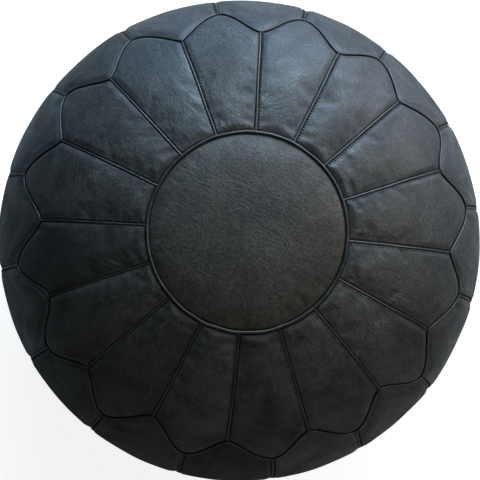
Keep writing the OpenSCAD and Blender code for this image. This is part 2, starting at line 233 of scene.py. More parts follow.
def outline(s):
    """Radius, height and outward normal (two parts) at the walked distance s."""
    s = np.asarray(s, float)
    r = FOOT_R - (s - S_FOOT)
    z = np.zeros_like(s)
    nr = np.zeros_like(s)
    nz = -np.ones_like(s)
    for (cr, cz, radius, start, _), s0, s1 in zip(ARCS, ARC_STARTS[:-1], ARC_STARTS[1:]):
        here = (s >= s0) & (s <= s1) if s0 > 0 else s <= s1
        angle = start + (s - s0) / radius
        r = np.where(here, cr + radius * np.sin(angle), r)
        z = np.where(here, cz + radius * np.cos(angle), z)
        nr = np.where(here, np.sin(angle), nr)
        nz = np.where(here, np.cos(angle), nz)
    return r, z, nr, nz


def walked_to(r):
    """The walked distance at which the top has radius r in plan."""
    r = np.asarray(r, float)
    on_crown = CROWN_R * np.arcsin(np.clip(r / CROWN_R, -1, 1))
    lean = np.arcsin(np.clip((r - SHOULDER_X) / SHOULDER_R, -1, 1))
    on_shoulder = ARC_STARTS[1] + SHOULDER_R * (lean - CROWN_ANGLE)
    return np.where(on_crown < ARC_STARTS[1], on_crown, on_shoulder)


# ---------------------------------------------------------------------------------------------
# The seams. A line number counts half panels round the pouf: an even line runs through a petal's tip,
# where two side panels meet, and an odd one through a corner, where two petals meet. A row number goes
# from 0 in the middle of the disc to 1 at its seam, 2 at the scalloped seam and 3 at the base.
# ---------------------------------------------------------------------------------------------
LINES = 2 * PANELS
by_hand = np.random.default_rng(SEED)
line_sway = by_hand.uniform(-0.011, 0.011, LINES)
line_reach = by_hand.uniform(-0.0022, 0.0022, LINES)
corner_round = by_hand.uniform(0.25, 0.95, LINES)
# how pale each panel's piece of hide is made, anticlockwise from petal 1 and from side panel 1: partly the
# hide's own lightness, partly painted light and shade, with panels towards the lights paler and bluer and
# those on the far side darker; 1 is the palest, -0.6 has no bloom left, and -1.6 is the blackest
PETAL_TONES_AND_PAINTED_LIGHT = (0.10, 0.35, 0.15, 1.00, 0.12, 0.60, -0.45, -0.75, -1.50, -0.80, -1.00, -0.60, -0.90,
               -0.60, -0.20, 0.20)
SIDE_TONES_AND_PAINTED_LIGHT = (0.45, -0.35, 0.30, 0.20, 0.75, -0.90, -0.40, -1.00, -0.50, -1.10, -0.90, -1.60, -0.60,
              -0.60, 0.20, 0.10)
panel_turn = by_hand.uniform(0.0, math.pi, LINES + 3)
panel_turn[7] = math.radians(-50)
panel_shift = by_hand.uniform(-40.0, 40.0, (LINES + 3, 2))


def line_angle(line):
    """Angle about the pouf's axis of a line number, whole or not."""
    line = np.asarray(line, float)
    low = np.floor(line).astype(int)
    part = line - low
    sway = line_sway[low % LINES] * (1 - part) + line_sway[(low + 1) % LINES] * part
    return FIRST_ANGLE + line * HALF_STEP + sway


def scallop_s(line):
    """Walked distance of the scalloped seam at a line number."""
    line = np.asarray(line, float)
    low = np.floor(line).astype(int)
    part = line - low
    low_is_tip = low % 2 == 0
    tip = np.where(low_is_tip, low, low + 1)
    corner = np.where(low_is_tip, low + 1, low)
    from_tip = np.where(low_is_tip, part, 1 - part)
    roundness = corner_round[corner % LINES]
    drop = (1 - roundness) * from_tip ** 1.5 + roundness * (0.5 - 0.5 * np.cos(math.pi * from_tip))
    tip_r = TIP_R + line_reach[tip % LINES]
    corner_r = CORNER_R + line_reach[corner % LINES]
    return walked_to(tip_r - (tip_r - corner_r) * drop)


def row_s(line, row):
    """Walked distance at a line and row number."""
    row = np.asarray(row, float)
    seam = scallop_s(line)
    disc = row * S_RING
    petal = S_RING + (row - 1) * (seam - S_RING)
    side = seam + (row - 2) * (S_BASE - seam)
    return np.where(row <= 1, disc, np.where(row <= 2, petal, side))


def place(angle, s, height):
    """Points at an angle and walked distance, raised by height along the normal, flattened on the floor."""
    r, z, nr, nz = outline(s)
    r = r + height * nr
    z = z + height * nz
    give = 0.0012
    z = np.where(z < give, give * np.exp(np.minimum(z / give - 1, 0)) - give * math.exp(-1) * (z < give), z)
    z = np.maximum(z, 0.0)
    return np.stack([r * np.cos(angle), r * np.sin(angle), z], -1)


# ---------------------------------------------------------------------------------------------
# The skin's swelling, by cloth simulation between pinned seams
# ---------------------------------------------------------------------------------------------
# the simulated grid, the frames the cloth is given to settle, and the most that it may swell
COLUMNS_PER_LINE = 8
ROWS_DISC, ROWS_PETAL, ROWS_SIDE = 12, 22, 50
SIM_FRAMES = 20
SWELL_CAP = 0.0065


def swell_grid():
    lines = np.arange(LINES * COLUMNS_PER_LINE) / COLUMNS_PER_LINE
    rows = np.concatenate([np.arange(1, ROWS_DISC + 1) / ROWS_DISC,
                           1 + np.arange(1, ROWS_PETAL + 1) / ROWS_PETAL,
                           2 + np.arange(1, ROWS_SIDE + 1) / ROWS_SIDE])
    return lines, rows


def simulate_swell():
    """Heights over the outline on the grid of rows and lines, from a pressed-out cloth skin."""
    lines, rows = swell_grid()
    line, row = np.meshgrid(lines, rows)
    s = row_s(line, row)
    angle = line_angle(line)
    points = place(angle, s, np.zeros_like(s))
    wide, deep = len(lines), len(rows)
    verts = [(0.0, 0.0, POUF_H)] + [tuple(p) for p in points.reshape(-1, 3)]
    faces = [(0, 1 + c, 1 + (c + 1) % wide) for c in range(wide)]
    for r in range(deep - 1):
        for c in range(wide):
            d = (c + 1) % wide
            faces.append((1 + r * wide + c, 1 + (r + 1) * wide + c, 1 + (r + 1) * wide + d, 1 + r * wide + d))
    mesh = bpy.data.meshes.new("skin")
    mesh.from_pydata(verts, [], faces)
    skin = bpy.data.objects.new("skin", mesh)
    bpy.context.collection.objects.link(skin)

    on_even = np.isclose(line % 2, 0)
    on_odd = np.isclose(line % 2, 1)
    pinned = np.isclose(row, 1) | np.isclose(row, 2) | np.isclose(row, 3)
    pinned |= on_odd & (row > 1) & (row < 2)
    pinned |= on_even & (row > 2)
    group = skin.vertex_groups.new(name="seams")
    group.add([int(i) + 1 for i in np.nonzero(pinned.reshape(-1))[0]], 1.0, "REPLACE")

    cloth = skin.modifiers.new("cloth", "CLOTH")
    feel = cloth.settings
    feel.quality = 5
    feel.mass = 0.3
    feel.tension_stiffness = feel.compression_stiffness = 20
    feel.shear_stiffness = 8
    feel.bending_stiffness = 0.6
    feel.tension_damping = feel.compression_damping = 8
    feel.air_damping = 4
    feel.vertex_group_mass = "seams"
    feel.use_pressure = True
    feel.uniform_pressure_force = 6.0
    feel.shrink_min = -0.012
    feel.effector_weights.gravity = 0.0
    cloth.collision_settings.use_collision = False
    cloth.point_cache.frame_start = 1
    cloth.point_cache.frame_end = SIM_FRAMES
    scene = bpy.context.scene
    for frame_number in range(1, SIM_FRAMES + 1):
        scene.frame_set(frame_number)
    shown = skin.evaluated_get(bpy.context.evaluated_depsgraph_get())
    flat = np.zeros(len(shown.data.vertices) * 3)
    shown.data.vertices.foreach_get("co", flat)
    bpy.data.objects.remove(skin)
    scene.frame_set(1)

    moved = flat.reshape(-1, 3)[1:].reshape(deep, wide, 3)
    _, _, nr, nz = outline(s)
    normal = np.stack([nr * np.cos(angle), nr * np.sin(angle), nz], -1)
    height = ((moved - points) * normal).sum(-1)
    print("swell: lowest %.2f mm, highest %.2f mm" % (height.min() * 1000, height.max() * 1000))
    return SWELL_CAP * np.tanh(height / SWELL_CAP)


swell_heights = simulate_swell()


def cubic_weights(t):
    return [(-t + 2 * t * t - t ** 3) / 2, (2 - 5 * t * t + 3 * t ** 3) / 2,
            (t + 4 * t * t - 3 * t ** 3) / 2, (t ** 3 - t * t) / 2]


def swell(line, row):
    """The simulated height at any line and row number."""
    deep, wide = swell_heights.shape
    column = np.asarray(line, float) * COLUMNS_PER_LINE
    index = np.where(row <= 1, row * ROWS_DISC,
                     np.where(row <= 2, ROWS_DISC + (row - 1) * ROWS_PETAL,
                              ROWS_DISC + ROWS_PETAL + (row - 2) * ROWS_SIDE)) - 1
    c0 = np.floor(column).astype(int)
    r0 = np.floor(index).astype(int)
    total = 0.0
    for i, wr in enumerate(cubic_weights(index - r0)):
        r = np.clip(r0 + i - 1, 0, deep - 1)
        for j, wc in enumerate(cubic_weights(column - c0)):
            total = total + wr * wc * swell_heights[r, (c0 + j - 1) % wide]
    return total


def relief(s, angle):
    """Lumps of stuffing and soft folds in the leather, all over the cover."""
    r, z, _, _ = outline(s)
    at = np.stack([r * np.cos(angle), r * np.sin(angle), z], -1)
    lumps = 0.0011 * noise(at / 0.085, 3) + 0.0006 * noise(at / 0.040, 4)
    # soft folds that lie along the ring's seam, where the crown settles round the disc
    past_ring = s - S_RING
    settle = np.exp(-np.abs(past_ring - 0.009) / 0.014) * smooth(past_ring / 0.004)
    patch = smooth(0.15 + 1.6 * flat_noise(angle * 2.2, 0.0, 7))
    folds = 0.0016 * settle * patch * flat_noise(angle * 5.0 + past_ring * 30, past_ring / 0.0085, 8)
    # sagging folds above the toe
    low = smooth((s - S_GIRTH - 0.05) / 0.10)
    sags = 0.0013 * low * flat_noise(angle * 4.5, s / 0.020, 9)
    return lumps + folds + sags


def puckers(distance, along, seed):
    """Small wrinkles that start square to a seam and die away from it."""
    strength = smooth(0.35 + 1.3 * flat_noise(along / 0.045, 0.0, seed))
    reach = 0.010 + 0.006 * flat_noise(along / 0.03, 0.0, seed + 1)
    wave = flat_noise(along / 0.0062, distance / 0.024, seed + 2)
    highest = 0.00062
    return highest * strength * np.exp(-np.maximum(distance, 0) / reach) * wave


# ---------------------------------------------------------------------------------------------
# Mesh helpers
# ---------------------------------------------------------------------------------------------
def grid_faces(deep, wide, closed=False):
    faces = []
    for r in range(deep - 1):
        for c in range(wide if closed else wide - 1):
            d = (c + 1) % wide
            faces.append((r * wide + c, (r + 1) * wide + c, (r + 1) * wide + d, r * wide + d))
    return faces


def make_piece(name, points, faces, material):
    mesh = bpy.data.meshes.new(name)
    mesh.from_pydata([tuple(map(float, p)) for p in np.asarray(points).reshape(-1, 3)], [], faces)
    mesh.materials.append(material)
    mesh.shade_smooth()
    piece = bpy.data.objects.new(name, mesh)
    bpy.context.collection.objects.link(piece)
    return piece


def add_hide_map(piece, flat, tone_and_painted_light):
    """The UV map 'hide': where on its hide each point of a panel was cut, in decimetres, and a value per
    panel that is partly its hide's own lightness and partly painted light and shade.
    """
    mesh = piece.data
    layer = mesh.uv_layers.new(name="hide")
    loops = np.zeros(len(mesh.loops), int)
    mesh.loops.foreach_get("vertex_index", loops)
    layer.data.foreach_set("uv", np.asarray(flat, float).reshape(-1, 2)[loops].reshape(-1))
    tones = mesh.attributes.new("tone_and_painted_light", "FLOAT", "POINT")
    tones.data.foreach_set("value", np.full(len(mesh.vertices), float(tone_and_painted_light)))


def add_edge_map(piece, distance):
    """The attribute 'seam': 1 in a seam's groove, falling to 0 on the open leather."""
    groove_reach = 0.0024
    near = piece.data.attributes.new("seam", "FLOAT", "POINT")
    near.data.foreach_set("value", np.exp(-np.maximum(np.asarray(distance).reshape(-1), 0) / groove_reach))


def nearest_edge(upper, lower, left, right):
    """Distance to the nearest edge, where the lower edge's groove counts as wider."""
    return np.minimum.reduce([upper, lower * 0.66, left, right])


def thicken(piece, thickness):
    """Gives a panel its leather's thickness, inwards from the face."""
    solid = piece.modifiers.new("thickness", "SOLIDIFY")
    solid.thickness = thickness
    solid.offset = -1
    solid.use_even_offset = False
    settle_modifiers(piece)


def settle_modifiers(piece):
    """Replaces a piece's mesh with what its modifiers make of it."""
    shown = piece.evaluated_get(bpy.context.evaluated_depsgraph_get())
    mesh = bpy.data.meshes.new_from_object(shown)
    mesh.name = piece.name
    old = piece.data
    piece.modifiers.clear()
    piece.data = mesh
    bpy.data.meshes.remove(old)


def eased(count, bunch=0.6):
    """count values from 0 to 1, closer together near both ends."""
    t = np.linspace(0.0, 1.0, count)
    return t - bunch * np.sin(2 * math.pi * t) / (2 * math.pi)


def held_down(height, distance):
    """A panel's fullness, held down to a quarter where its edge is sewn."""
    return height * (0.25 + 0.75 * smooth(distance / 0.008))


def roll(distance, width, depth):
    """How far a panel's edge rolls down into its seam, as a quarter of an ellipse."""
    x = 1 - np.clip(distance / width, 0, 1)
    return depth * (1 - np.sqrt(np.maximum(1 - x * x, 0)))


# ---------------------------------------------------------------------------------------------
# Leather panels of the top and sides
# ---------------------------------------------------------------------------------------------
# each panel's turned-down edge is tucked a little way under its piping
RING_SETBACK = 0.0012
SEAM_SETBACK = 0.0007
SCALLOP_SETBACK = 0.0005
BASE_SETBACK = BASE_PIPING_R + PIPING_GAP


# how far apart the turned-in edges of two panels lie, under their piping
MEETING_GAP = 0.00005


def with_allowance(t):
    """A row of values with each end given twice, for the edge that is turned in under a seam."""
    return np.concatenate([t[:1], t, t[-1:]])


def cover_panel(name, first_line, row_from, across, down, setbacks, rolls, seed, tone_and_painted_light, material):
    """One four-sided panel between first_line and the line two on, and between two rows of the skin.

    setbacks and rolls are for its upper edge, its lower edge and its two sides; a roll is (width, depth).
    """
    a, b = np.meshgrid(with_allowance(eased(across)), with_allowance(eased(down)))
    upper, lower, beside = setbacks
    line = first_line + 2 * a
    for _ in range(2):
        s_up = row_s(line, row_from)
        s_low = row_s(line, row_from + 1)
        s = s_up + upper + b * (s_low - s_up - upper - lower)
        r = outline(s)[0]
        inset = beside / (r * HALF_STEP)
        line = first_line + inset + a * (2 - 2 * inset)
    arc = r * HALF_STEP
    s[0] -= upper - MEETING_GAP
    s[-1] += lower - MEETING_GAP
    line[:, 0] -= (beside - MEETING_GAP) / arc[:, 0]
    line[:, -1] += (beside - MEETING_GAP) / arc[:, -1]
    angle = line_angle(line)
    step = 0.01
    slope = (row_s(line + step, row_from + 1) - row_s(line - step, row_from + 1)) / (2 * step * arc)
    slope_up = (row_s(line + step, row_from) - row_s(line - step, row_from)) / (2 * step * arc)
    from_left = (line - first_line) * arc - beside
    from_right = (first_line + 2 - line) * arc - beside
    from_upper = (s - s_up - upper) / np.sqrt(1 + slope_up ** 2)
    from_lower = (s_low - s - lower) / np.sqrt(1 + slope ** 2)

    row = row_from + (s - s_up) / (s_low - s_up)
    fullness = 1.0 - 0.45 * smooth((row - 2.0) * 4)
    height = fullness * swell(line, row) + relief(s, angle)
    along = line * 0.052
    height = height + puckers(from_upper, along, seed) + puckers(from_lower, along + 9, seed + 5)
    height = height + puckers(from_left, s, seed + 10) + puckers(from_right, s + 9, seed + 15)
    edges = ((from_upper, rolls[0]), (from_lower, rolls[1]), (from_left, rolls[2]), (from_right, rolls[2]))
    sunk = sum(roll(distance, *shape) ** 2 for distance, shape in edges)
    deepest = max(depth for _, depth in rolls)
    height = held_down(height, np.minimum.reduce([from_upper, from_lower, from_left, from_right]))
    height = height - np.minimum(np.sqrt(sunk), deepest)
    points = place(angle, s, height)

    piece = make_piece(name, points, grid_faces(*a.shape), material)
    index = seed % (LINES + 3)
    turn = panel_turn[index]
    x = (line - first_line - 1) * arc * 10
    y = (s - s_up) * 10
    flat = np.stack([x * math.cos(turn) - y * math.sin(turn) + panel_shift[index][0],
                     x * math.sin(turn) + y * math.cos(turn) + panel_shift[index][1]], -1)
    add_hide_map(piece, flat, tone_and_painted_light)
    add_edge_map(piece, nearest_edge(from_upper, from_lower, from_left, from_right))
    thicken(piece, LEATHER_T)
    return piece


def petal(number, material):
    rolls = ((0.0044, 0.0027), (0.0040, 0.0027), (0.0030, 0.0024))
    return cover_panel("petal_%02d" % number, 2 * (number - 1) - 1, 1, 64, 76,
                       (RING_SETBACK, SCALLOP_SETBACK, SEAM_SETBACK), rolls, number + 2,
                       PETAL_TONES_AND_PAINTED_LIGHT[number - 1], material)


def side_panel(number, material):
    rolls = ((0.0020, 0.0020), (0.0030, 0.0024), (0.0030, 0.0024))
    return cover_panel("side_panel_%02d" % number, 2 * (number - 1), 2, 64, 112,
                       (SCALLOP_SETBACK, BASE_SETBACK, SEAM_SETBACK), rolls, number + 18,
                       SIDE_TONES_AND_PAINTED_LIGHT[number - 1], material)


def top_disc(material):
    """The centre disc: a polar grid that rolls down at its seam."""
    wide, deep = 224, 62
    turns = np.arange(wide) / wide * LINES
    t = np.linspace(0.0, 1.0, deep)[1:]
    t = t + 0.16 * np.sin(math.pi * t)
    t = t / t[-1]
    line, out = np.meshgrid(turns, np.append(t, 1.0))
    s = out * (S_RING - RING_SETBACK)
    s[-1] += RING_SETBACK - MEETING_GAP
    angle = line_angle(line)
    from_edge = S_RING - RING_SETBACK - s
    along = line * 0.02
    height = swell(line, out) + relief(s, angle) * smooth(0.2 + out)
    height = height + puckers(from_edge, along, 77)
    height = held_down(height, from_edge) - roll(from_edge, 0.0042, 0.0024)
    points = place(angle, s, height).reshape(-1, 3)
    middle = points[:wide].mean(0)
    points = np.concatenate([[middle], points])
    faces = [(0, 1 + c, 1 + (c + 1) % wide) for c in range(wide)]
    faces += [tuple(i + 1 for i in f) for f in grid_faces(deep, wide, closed=True)]
    piece = make_piece("top_disc", points, faces, material)
    turn = math.radians(28)
    x, y = points[:, 0] * 10, points[:, 1] * 10
    flat = np.stack([x * math.cos(turn) - y * math.sin(turn) + 3,
                     x * math.sin(turn) + y * math.cos(turn) + 3], -1)
    add_hide_map(piece, flat, 0.0)
    add_edge_map(piece, np.concatenate([[0.1], from_edge.reshape(-1)]))
    thicken(piece, LEATHER_T)
    return piece


# ---------------------------------------------------------------------------------------------
# Node trees: a small builder that both kinds use
# ---------------------------------------------------------------------------------------------
class Tree:
    def __init__(self, tree):
        self.tree = tree

    def node(self, kind, inputs=None, **settings):
        made = self.tree.nodes.new(kind)
        for key, value in settings.items():
            setattr(made, key, value)
        for key, value in (inputs or {}).items():
            socket = made.inputs[key]
            if isinstance(value, bpy.types.NodeSocket):
                self.tree.links.new(value, socket)
            else:
                socket.default_value = value
        return made

    def link(self, source, target):
        self.tree.links.new(source, target)


def new_group(name, kind, inputs, outputs):
    """A node group with named sockets: each input is (name, socket type, default or None)."""
    tree = bpy.data.node_groups.new(name, kind)
    for label, socket_type, value in inputs:
        socket = tree.interface.new_socket(label, in_out="INPUT", socket_type=socket_type)
        if value is not None:
            socket.default_value = value
    for label, socket_type in outputs:
        tree.interface.new_socket(label, in_out="OUTPUT", socket_type=socket_type)
    build = Tree(tree)
    build.inside = tree.nodes.new("NodeGroupInput").outputs
    build.out = tree.nodes.new("NodeGroupOutput").inputs
    return build


def run_tree(name, path_mesh, group, values):
    """Runs a Geometry Nodes tree on a path, and returns its result as a plain piece."""
    piece = bpy.data.objects.new(name, path_mesh)
    bpy.context.collection.objects.link(piece)
    modifier = piece.modifiers.new("nodes", "NODES")
    modifier.node_group = group.tree
    for item in group.tree.interface.items_tree:
        if item.item_type == "SOCKET" and item.in_out == "INPUT" and item.name in values:
            modifier[item.identifier] = values[item.name]
    settle_modifiers(piece)
    return piece


def path_mesh(name, paths, outs, closed=False):
    """A mesh of edges along several paths, with the outward direction of each point as 'out'."""
    points, edges, start = [], [], 0
    for path in paths:
        count = len(path)
        points += [tuple(map(float, p)) for p in path]
        edges += [(start + i, start + i + 1) for i in range(count - 1)]
        if closed:
            edges.append((start + count - 1, start))
        start += count
    mesh = bpy.data.meshes.new(name)
    mesh.from_pydata(points, edges, [])
    out = mesh.attributes.new("out", "FLOAT_VECTOR", "POINT")
    all_outs = np.concatenate([np.asarray(each, float).reshape(-1, 3) for each in outs])
    out.data.foreach_set("vector", all_outs.reshape(-1))
    return mesh


def piping_tree():
    """A round piping along a path: a tube with a hand-made unevenness."""
    g = new_group("piping_along_seam", "GeometryNodeTree",
                  [("Path", "NodeSocketGeometry", None), ("Radius", "NodeSocketFloat", 0.0014),
                   ("Spacing", "NodeSocketFloat", 0.002), ("Unevenness", "NodeSocketFloat", 0.00016),
                   ("Sides", "NodeSocketInt", 10), ("Leather", "NodeSocketMaterial", None)],
                  [("Piping", "NodeSocketGeometry")])
    curve = g.node("GeometryNodeMeshToCurve", {"Mesh": g.inside["Path"]})
    even = g.node("GeometryNodeResampleCurve", {"Curve": curve.outputs[0], "Length": g.inside["Spacing"]},
                  mode="LENGTH")
    ring = g.node("GeometryNodeCurvePrimitiveCircle", {"Resolution": g.inside["Sides"],
                                                      "Radius": g.inside["Radius"]})
    tube = g.node("GeometryNodeCurveToMesh", {"Curve": even.outputs[0], "Profile Curve": ring.outputs[0],
                                              "Fill Caps": True})
    where = g.node("GeometryNodeInputPosition")
    bumps = g.node("ShaderNodeTexNoise", {"Vector": where.outputs[0], "Scale": 110.0, "Detail": 2.0})
    level = g.node("ShaderNodeMath", {0: bumps.outputs[0], 1: 0.5}, operation="SUBTRACT")
    amount = g.node("ShaderNodeMath", {0: level.outputs[0], 1: g.inside["Unevenness"]},
                    operation="MULTIPLY")
    face_out = g.node("GeometryNodeInputNormal")
    push = g.node("ShaderNodeVectorMath", {0: face_out.outputs[0], "Scale": amount.outputs[0]},
                  operation="SCALE")
    uneven = g.node("GeometryNodeSetPosition", {"Geometry": tube.outputs[0], "Offset": push.outputs[0]})
    soft = g.node("GeometryNodeSetShadeSmooth", {"Geometry": uneven.outputs[0]})
    whole = g.node("GeometryNodeRealizeInstances", {"Geometry": soft.outputs[0]})
    dressed = g.node("GeometryNodeSetMaterial", {"Geometry": whole.outputs[0],
                                                 "Material": g.inside["Leather"]})
    g.link(dressed.outputs[0], g.out["Piping"])
    return g


def stitch_tree():
    """Bites of thread along a path, square to it or in line with it."""
    g = new_group("stitches_along_seam", "GeometryNodeTree",
                  [("Path", "NodeSocketGeometry", None), ("Pitch", "NodeSocketFloat", 0.0026),
                   ("Bite", "NodeSocketFloat", 0.0018), ("Thread", "NodeSocketFloat", 0.00058),
                   ("Rise", "NodeSocketFloat", 0.0003), ("Turn", "NodeSocketFloat", 0.0),
                   ("Seed", "NodeSocketInt", 1), ("Thread Material", "NodeSocketMaterial", None)],
                  [("Stitches", "NodeSocketGeometry")])
    curve = g.node("GeometryNodeMeshToCurve", {"Mesh": g.inside["Path"]})
    even = g.node("GeometryNodeResampleCurve", {"Curve": curve.outputs[0], "Length": g.inside["Pitch"]},
                  mode="LENGTH")
    half = g.node("ShaderNodeMath", {0: g.inside["Bite"], 1: 0.5}, operation="MULTIPLY")
    back = g.node("ShaderNodeMath", {0: half.outputs[0], 1: -1.0}, operation="MULTIPLY")
    down = g.node("ShaderNodeMath", {0: g.inside["Rise"], 1: -1.0}, operation="MULTIPLY")
    top = g.node("ShaderNodeMath", {0: g.inside["Rise"], 1: 2.0}, operation="MULTIPLY")
    start = g.node("ShaderNodeCombineXYZ", {0: back.outputs[0], 2: down.outputs[0]})
    middle = g.node("ShaderNodeCombineXYZ", {2: top.outputs[0]})
    end = g.node("ShaderNodeCombineXYZ", {0: half.outputs[0], 2: down.outputs[0]})
    arch = g.node("GeometryNodeCurveQuadraticBezier", {"Resolution": 5, "Start": start.outputs[0],
                                                      "Middle": middle.outputs[0], "End": end.outputs[0]})
    strand = g.node("GeometryNodeCurvePrimitiveCircle", {"Resolution": 6, "Radius": g.inside["Thread"]})
    bite = g.node("GeometryNodeCurveToMesh", {"Curve": arch.outputs[0], "Profile Curve": strand.outputs[0],
                                              "Fill Caps": True})
    outward = g.node("GeometryNodeInputNamedAttribute", {"Name": "out"}, data_type="FLOAT_VECTOR")
    along = g.node("GeometryNodeInputTangent")
    lean = g.node("FunctionNodeRandomValue", {"Min": -0.16, "Max": 0.16, "Seed": g.inside["Seed"]},
                  data_type="FLOAT")
    for socket in lean.inputs:
        if socket.name == "Min" and socket.type == "VALUE":
            socket.default_value = -0.16
        if socket.name == "Max" and socket.type == "VALUE":
            socket.default_value = 0.16
    upright = g.node("FunctionNodeAlignRotationToVector", {"Vector": outward.outputs[0]}, axis="Z")
    aligned = g.node("FunctionNodeAlignRotationToVector",
                     {"Rotation": upright.outputs[0], "Vector": along.outputs[0]}, axis="X", pivot_axis="Z")
    angle = g.node("ShaderNodeMath", {0: g.inside["Turn"], 1: lean.outputs["Value"]}, operation="ADD")
    twist = g.node("ShaderNodeCombineXYZ", {2: angle.outputs[0]})
    turned = g.node("FunctionNodeRotateRotation",
                    {"Rotation": aligned.outputs[0], "Rotate By": twist.outputs[0]}, rotation_space="LOCAL")
    laid = g.node("GeometryNodeInstanceOnPoints", {"Points": even.outputs[0], "Instance": bite.outputs[0],
                                                   "Rotation": turned.outputs[0]})
    whole = g.node("GeometryNodeRealizeInstances", {"Geometry": laid.outputs[0]})
    soft = g.node("GeometryNodeSetShadeSmooth", {"Geometry": whole.outputs[0]})
    dressed = g.node("GeometryNodeSetMaterial", {"Geometry": soft.outputs[0],
                                                 "Material": g.inside["Thread Material"]})
    g.link(dressed.outputs[0], g.out["Stitches"])
    return g


def coil_tree():
    """A nylon coil along +X from the origin: a flat spiral whose turns reach past the middle."""
    g = new_group("zip_coil", "GeometryNodeTree",
                  [("Path", "NodeSocketGeometry", None), ("Pitch", "NodeSocketFloat", 0.003),
                   ("Width", "NodeSocketFloat", 0.0044), ("Height", "NodeSocketFloat", 0.0022),
                   ("Strand", "NodeSocketFloat", 0.0004), ("Nylon", "NodeSocketMaterial", None)],
                  [("Coil", "NodeSocketGeometry")])
    curve = g.node("GeometryNodeMeshToCurve", {"Mesh": g.inside["Path"]})
    gap = g.node("ShaderNodeMath", {0: g.inside["Pitch"], 1: 14.0}, operation="DIVIDE")
    fine = g.node("GeometryNodeResampleCurve", {"Curve": curve.outputs[0], "Length": gap.outputs[0]},
                  mode="LENGTH")
    where = g.node("GeometryNodeInputPosition")
    parts = g.node("ShaderNodeSeparateXYZ", {0: where.outputs[0]})
    turns = g.node("ShaderNodeMath", {0: parts.outputs[0], 1: g.inside["Pitch"]}, operation="DIVIDE")
    angle = g.node("ShaderNodeMath", {0: turns.outputs[0], 1: 2 * math.pi}, operation="MULTIPLY")
    cosine = g.node("ShaderNodeMath", {0: angle.outputs[0]}, operation="COSINE")
    sine = g.node("ShaderNodeMath", {0: angle.outputs[0]}, operation="SINE")
    half_w = g.node("ShaderNodeMath", {0: g.inside["Width"], 1: 0.5}, operation="MULTIPLY")
    half_h = g.node("ShaderNodeMath", {0: g.inside["Height"], 1: 0.5}, operation="MULTIPLY")
    y = g.node("ShaderNodeMath", {0: cosine.outputs[0], 1: half_w.outputs[0]}, operation="MULTIPLY")
    z = g.node("ShaderNodeMath", {0: sine.outputs[0], 1: half_h.outputs[0]}, operation="MULTIPLY")
    offset = g.node("ShaderNodeCombineXYZ", {1: y.outputs[0], 2: z.outputs[0]})
    wound = g.node("GeometryNodeSetPosition", {"Geometry": fine.outputs[0], "Offset": offset.outputs[0]})
    strand = g.node("GeometryNodeCurvePrimitiveCircle", {"Resolution": 7, "Radius": g.inside["Strand"]})
    tube = g.node("GeometryNodeCurveToMesh", {"Curve": wound.outputs[0], "Profile Curve": strand.outputs[0],
                                              "Fill Caps": True})
    soft = g.node("GeometryNodeSetShadeSmooth", {"Geometry": tube.outputs[0]})
    whole = g.node("GeometryNodeRealizeInstances", {"Geometry": soft.outputs[0]})
    dressed = g.node("GeometryNodeSetMaterial", {"Geometry": whole.outputs[0],
                                                 "Material": g.inside["Nylon"]})
    g.link(dressed.outputs[0], g.out["Coil"])
    return g


# ---------------------------------------------------------------------------------------------
# Shared effects for the materials
# ---------------------------------------------------------------------------------------------
VALUE = "NodeSocketFloat"
VECTOR = "NodeSocketVector"


def pebble_grain():
    """Fine pores and pebbles of full-grain leather. Height is 0 to 1."""
    g = new_group("pebble_grain", "ShaderNodeTree", [("Vector", VECTOR, None), ("Scale", VALUE, 60.0)],
                  [("Height", VALUE)])
    cells = g.node("ShaderNodeTexVoronoi", {"Vector": g.inside["Vector"], "Scale": g.inside["Scale"],
                                            "Randomness": 1.0}, feature="SMOOTH_F1")
    fine = g.node("ShaderNodeMath", {0: g.inside["Scale"], 1: 2.6}, operation="MULTIPLY")
    pores = g.node("ShaderNodeTexNoise", {"Vector": g.inside["Vector"], "Scale": fine.outputs[0],
                                          "Detail": 3.0, "Roughness": 0.6})
    mixed = g.node("ShaderNodeMath", {0: cells.outputs["Distance"], 1: 0.7}, operation="MULTIPLY")
    total = g.node("ShaderNodeMath", {0: pores.outputs[0], 1: mixed.outputs[0]}, operation="ADD")
    g.link(total.outputs[0], g.out["Height"])
    return g.tree


def dye_mottle():
    """Patches where dye and wax took unevenly. Patch and Haze are 0 to 1."""
    g = new_group("dye_mottle", "ShaderNodeTree", [("Vector", VECTOR, None), ("Scale", VALUE, 2.2)],
                  [("Patch", VALUE), ("Haze", VALUE)])
    broad = g.node("ShaderNodeTexNoise", {"Vector": g.inside["Vector"], "Scale": g.inside["Scale"],
                                          "Detail": 5.0, "Roughness": 0.62, "Distortion": 0.4})
    patch = g.node("ShaderNodeMapRange", {"Value": broad.outputs[0], "From Min": 0.38, "From Max": 0.63})
    finer = g.node("ShaderNodeMath", {0: g.inside["Scale"], 1: 5.5}, operation="MULTIPLY")
    dust = g.node("ShaderNodeTexNoise", {"Vector": g.inside["Vector"], "Scale": finer.outputs[0],
                                         "Detail": 6.0, "Roughness": 0.7})
    haze = g.node("ShaderNodeMapRange", {"Value": dust.outputs[0], "From Min": 0.44, "From Max": 0.68})
    g.link(patch.outputs[0], g.out["Patch"])
    g.link(haze.outputs[0], g.out["Haze"])
    return g.tree


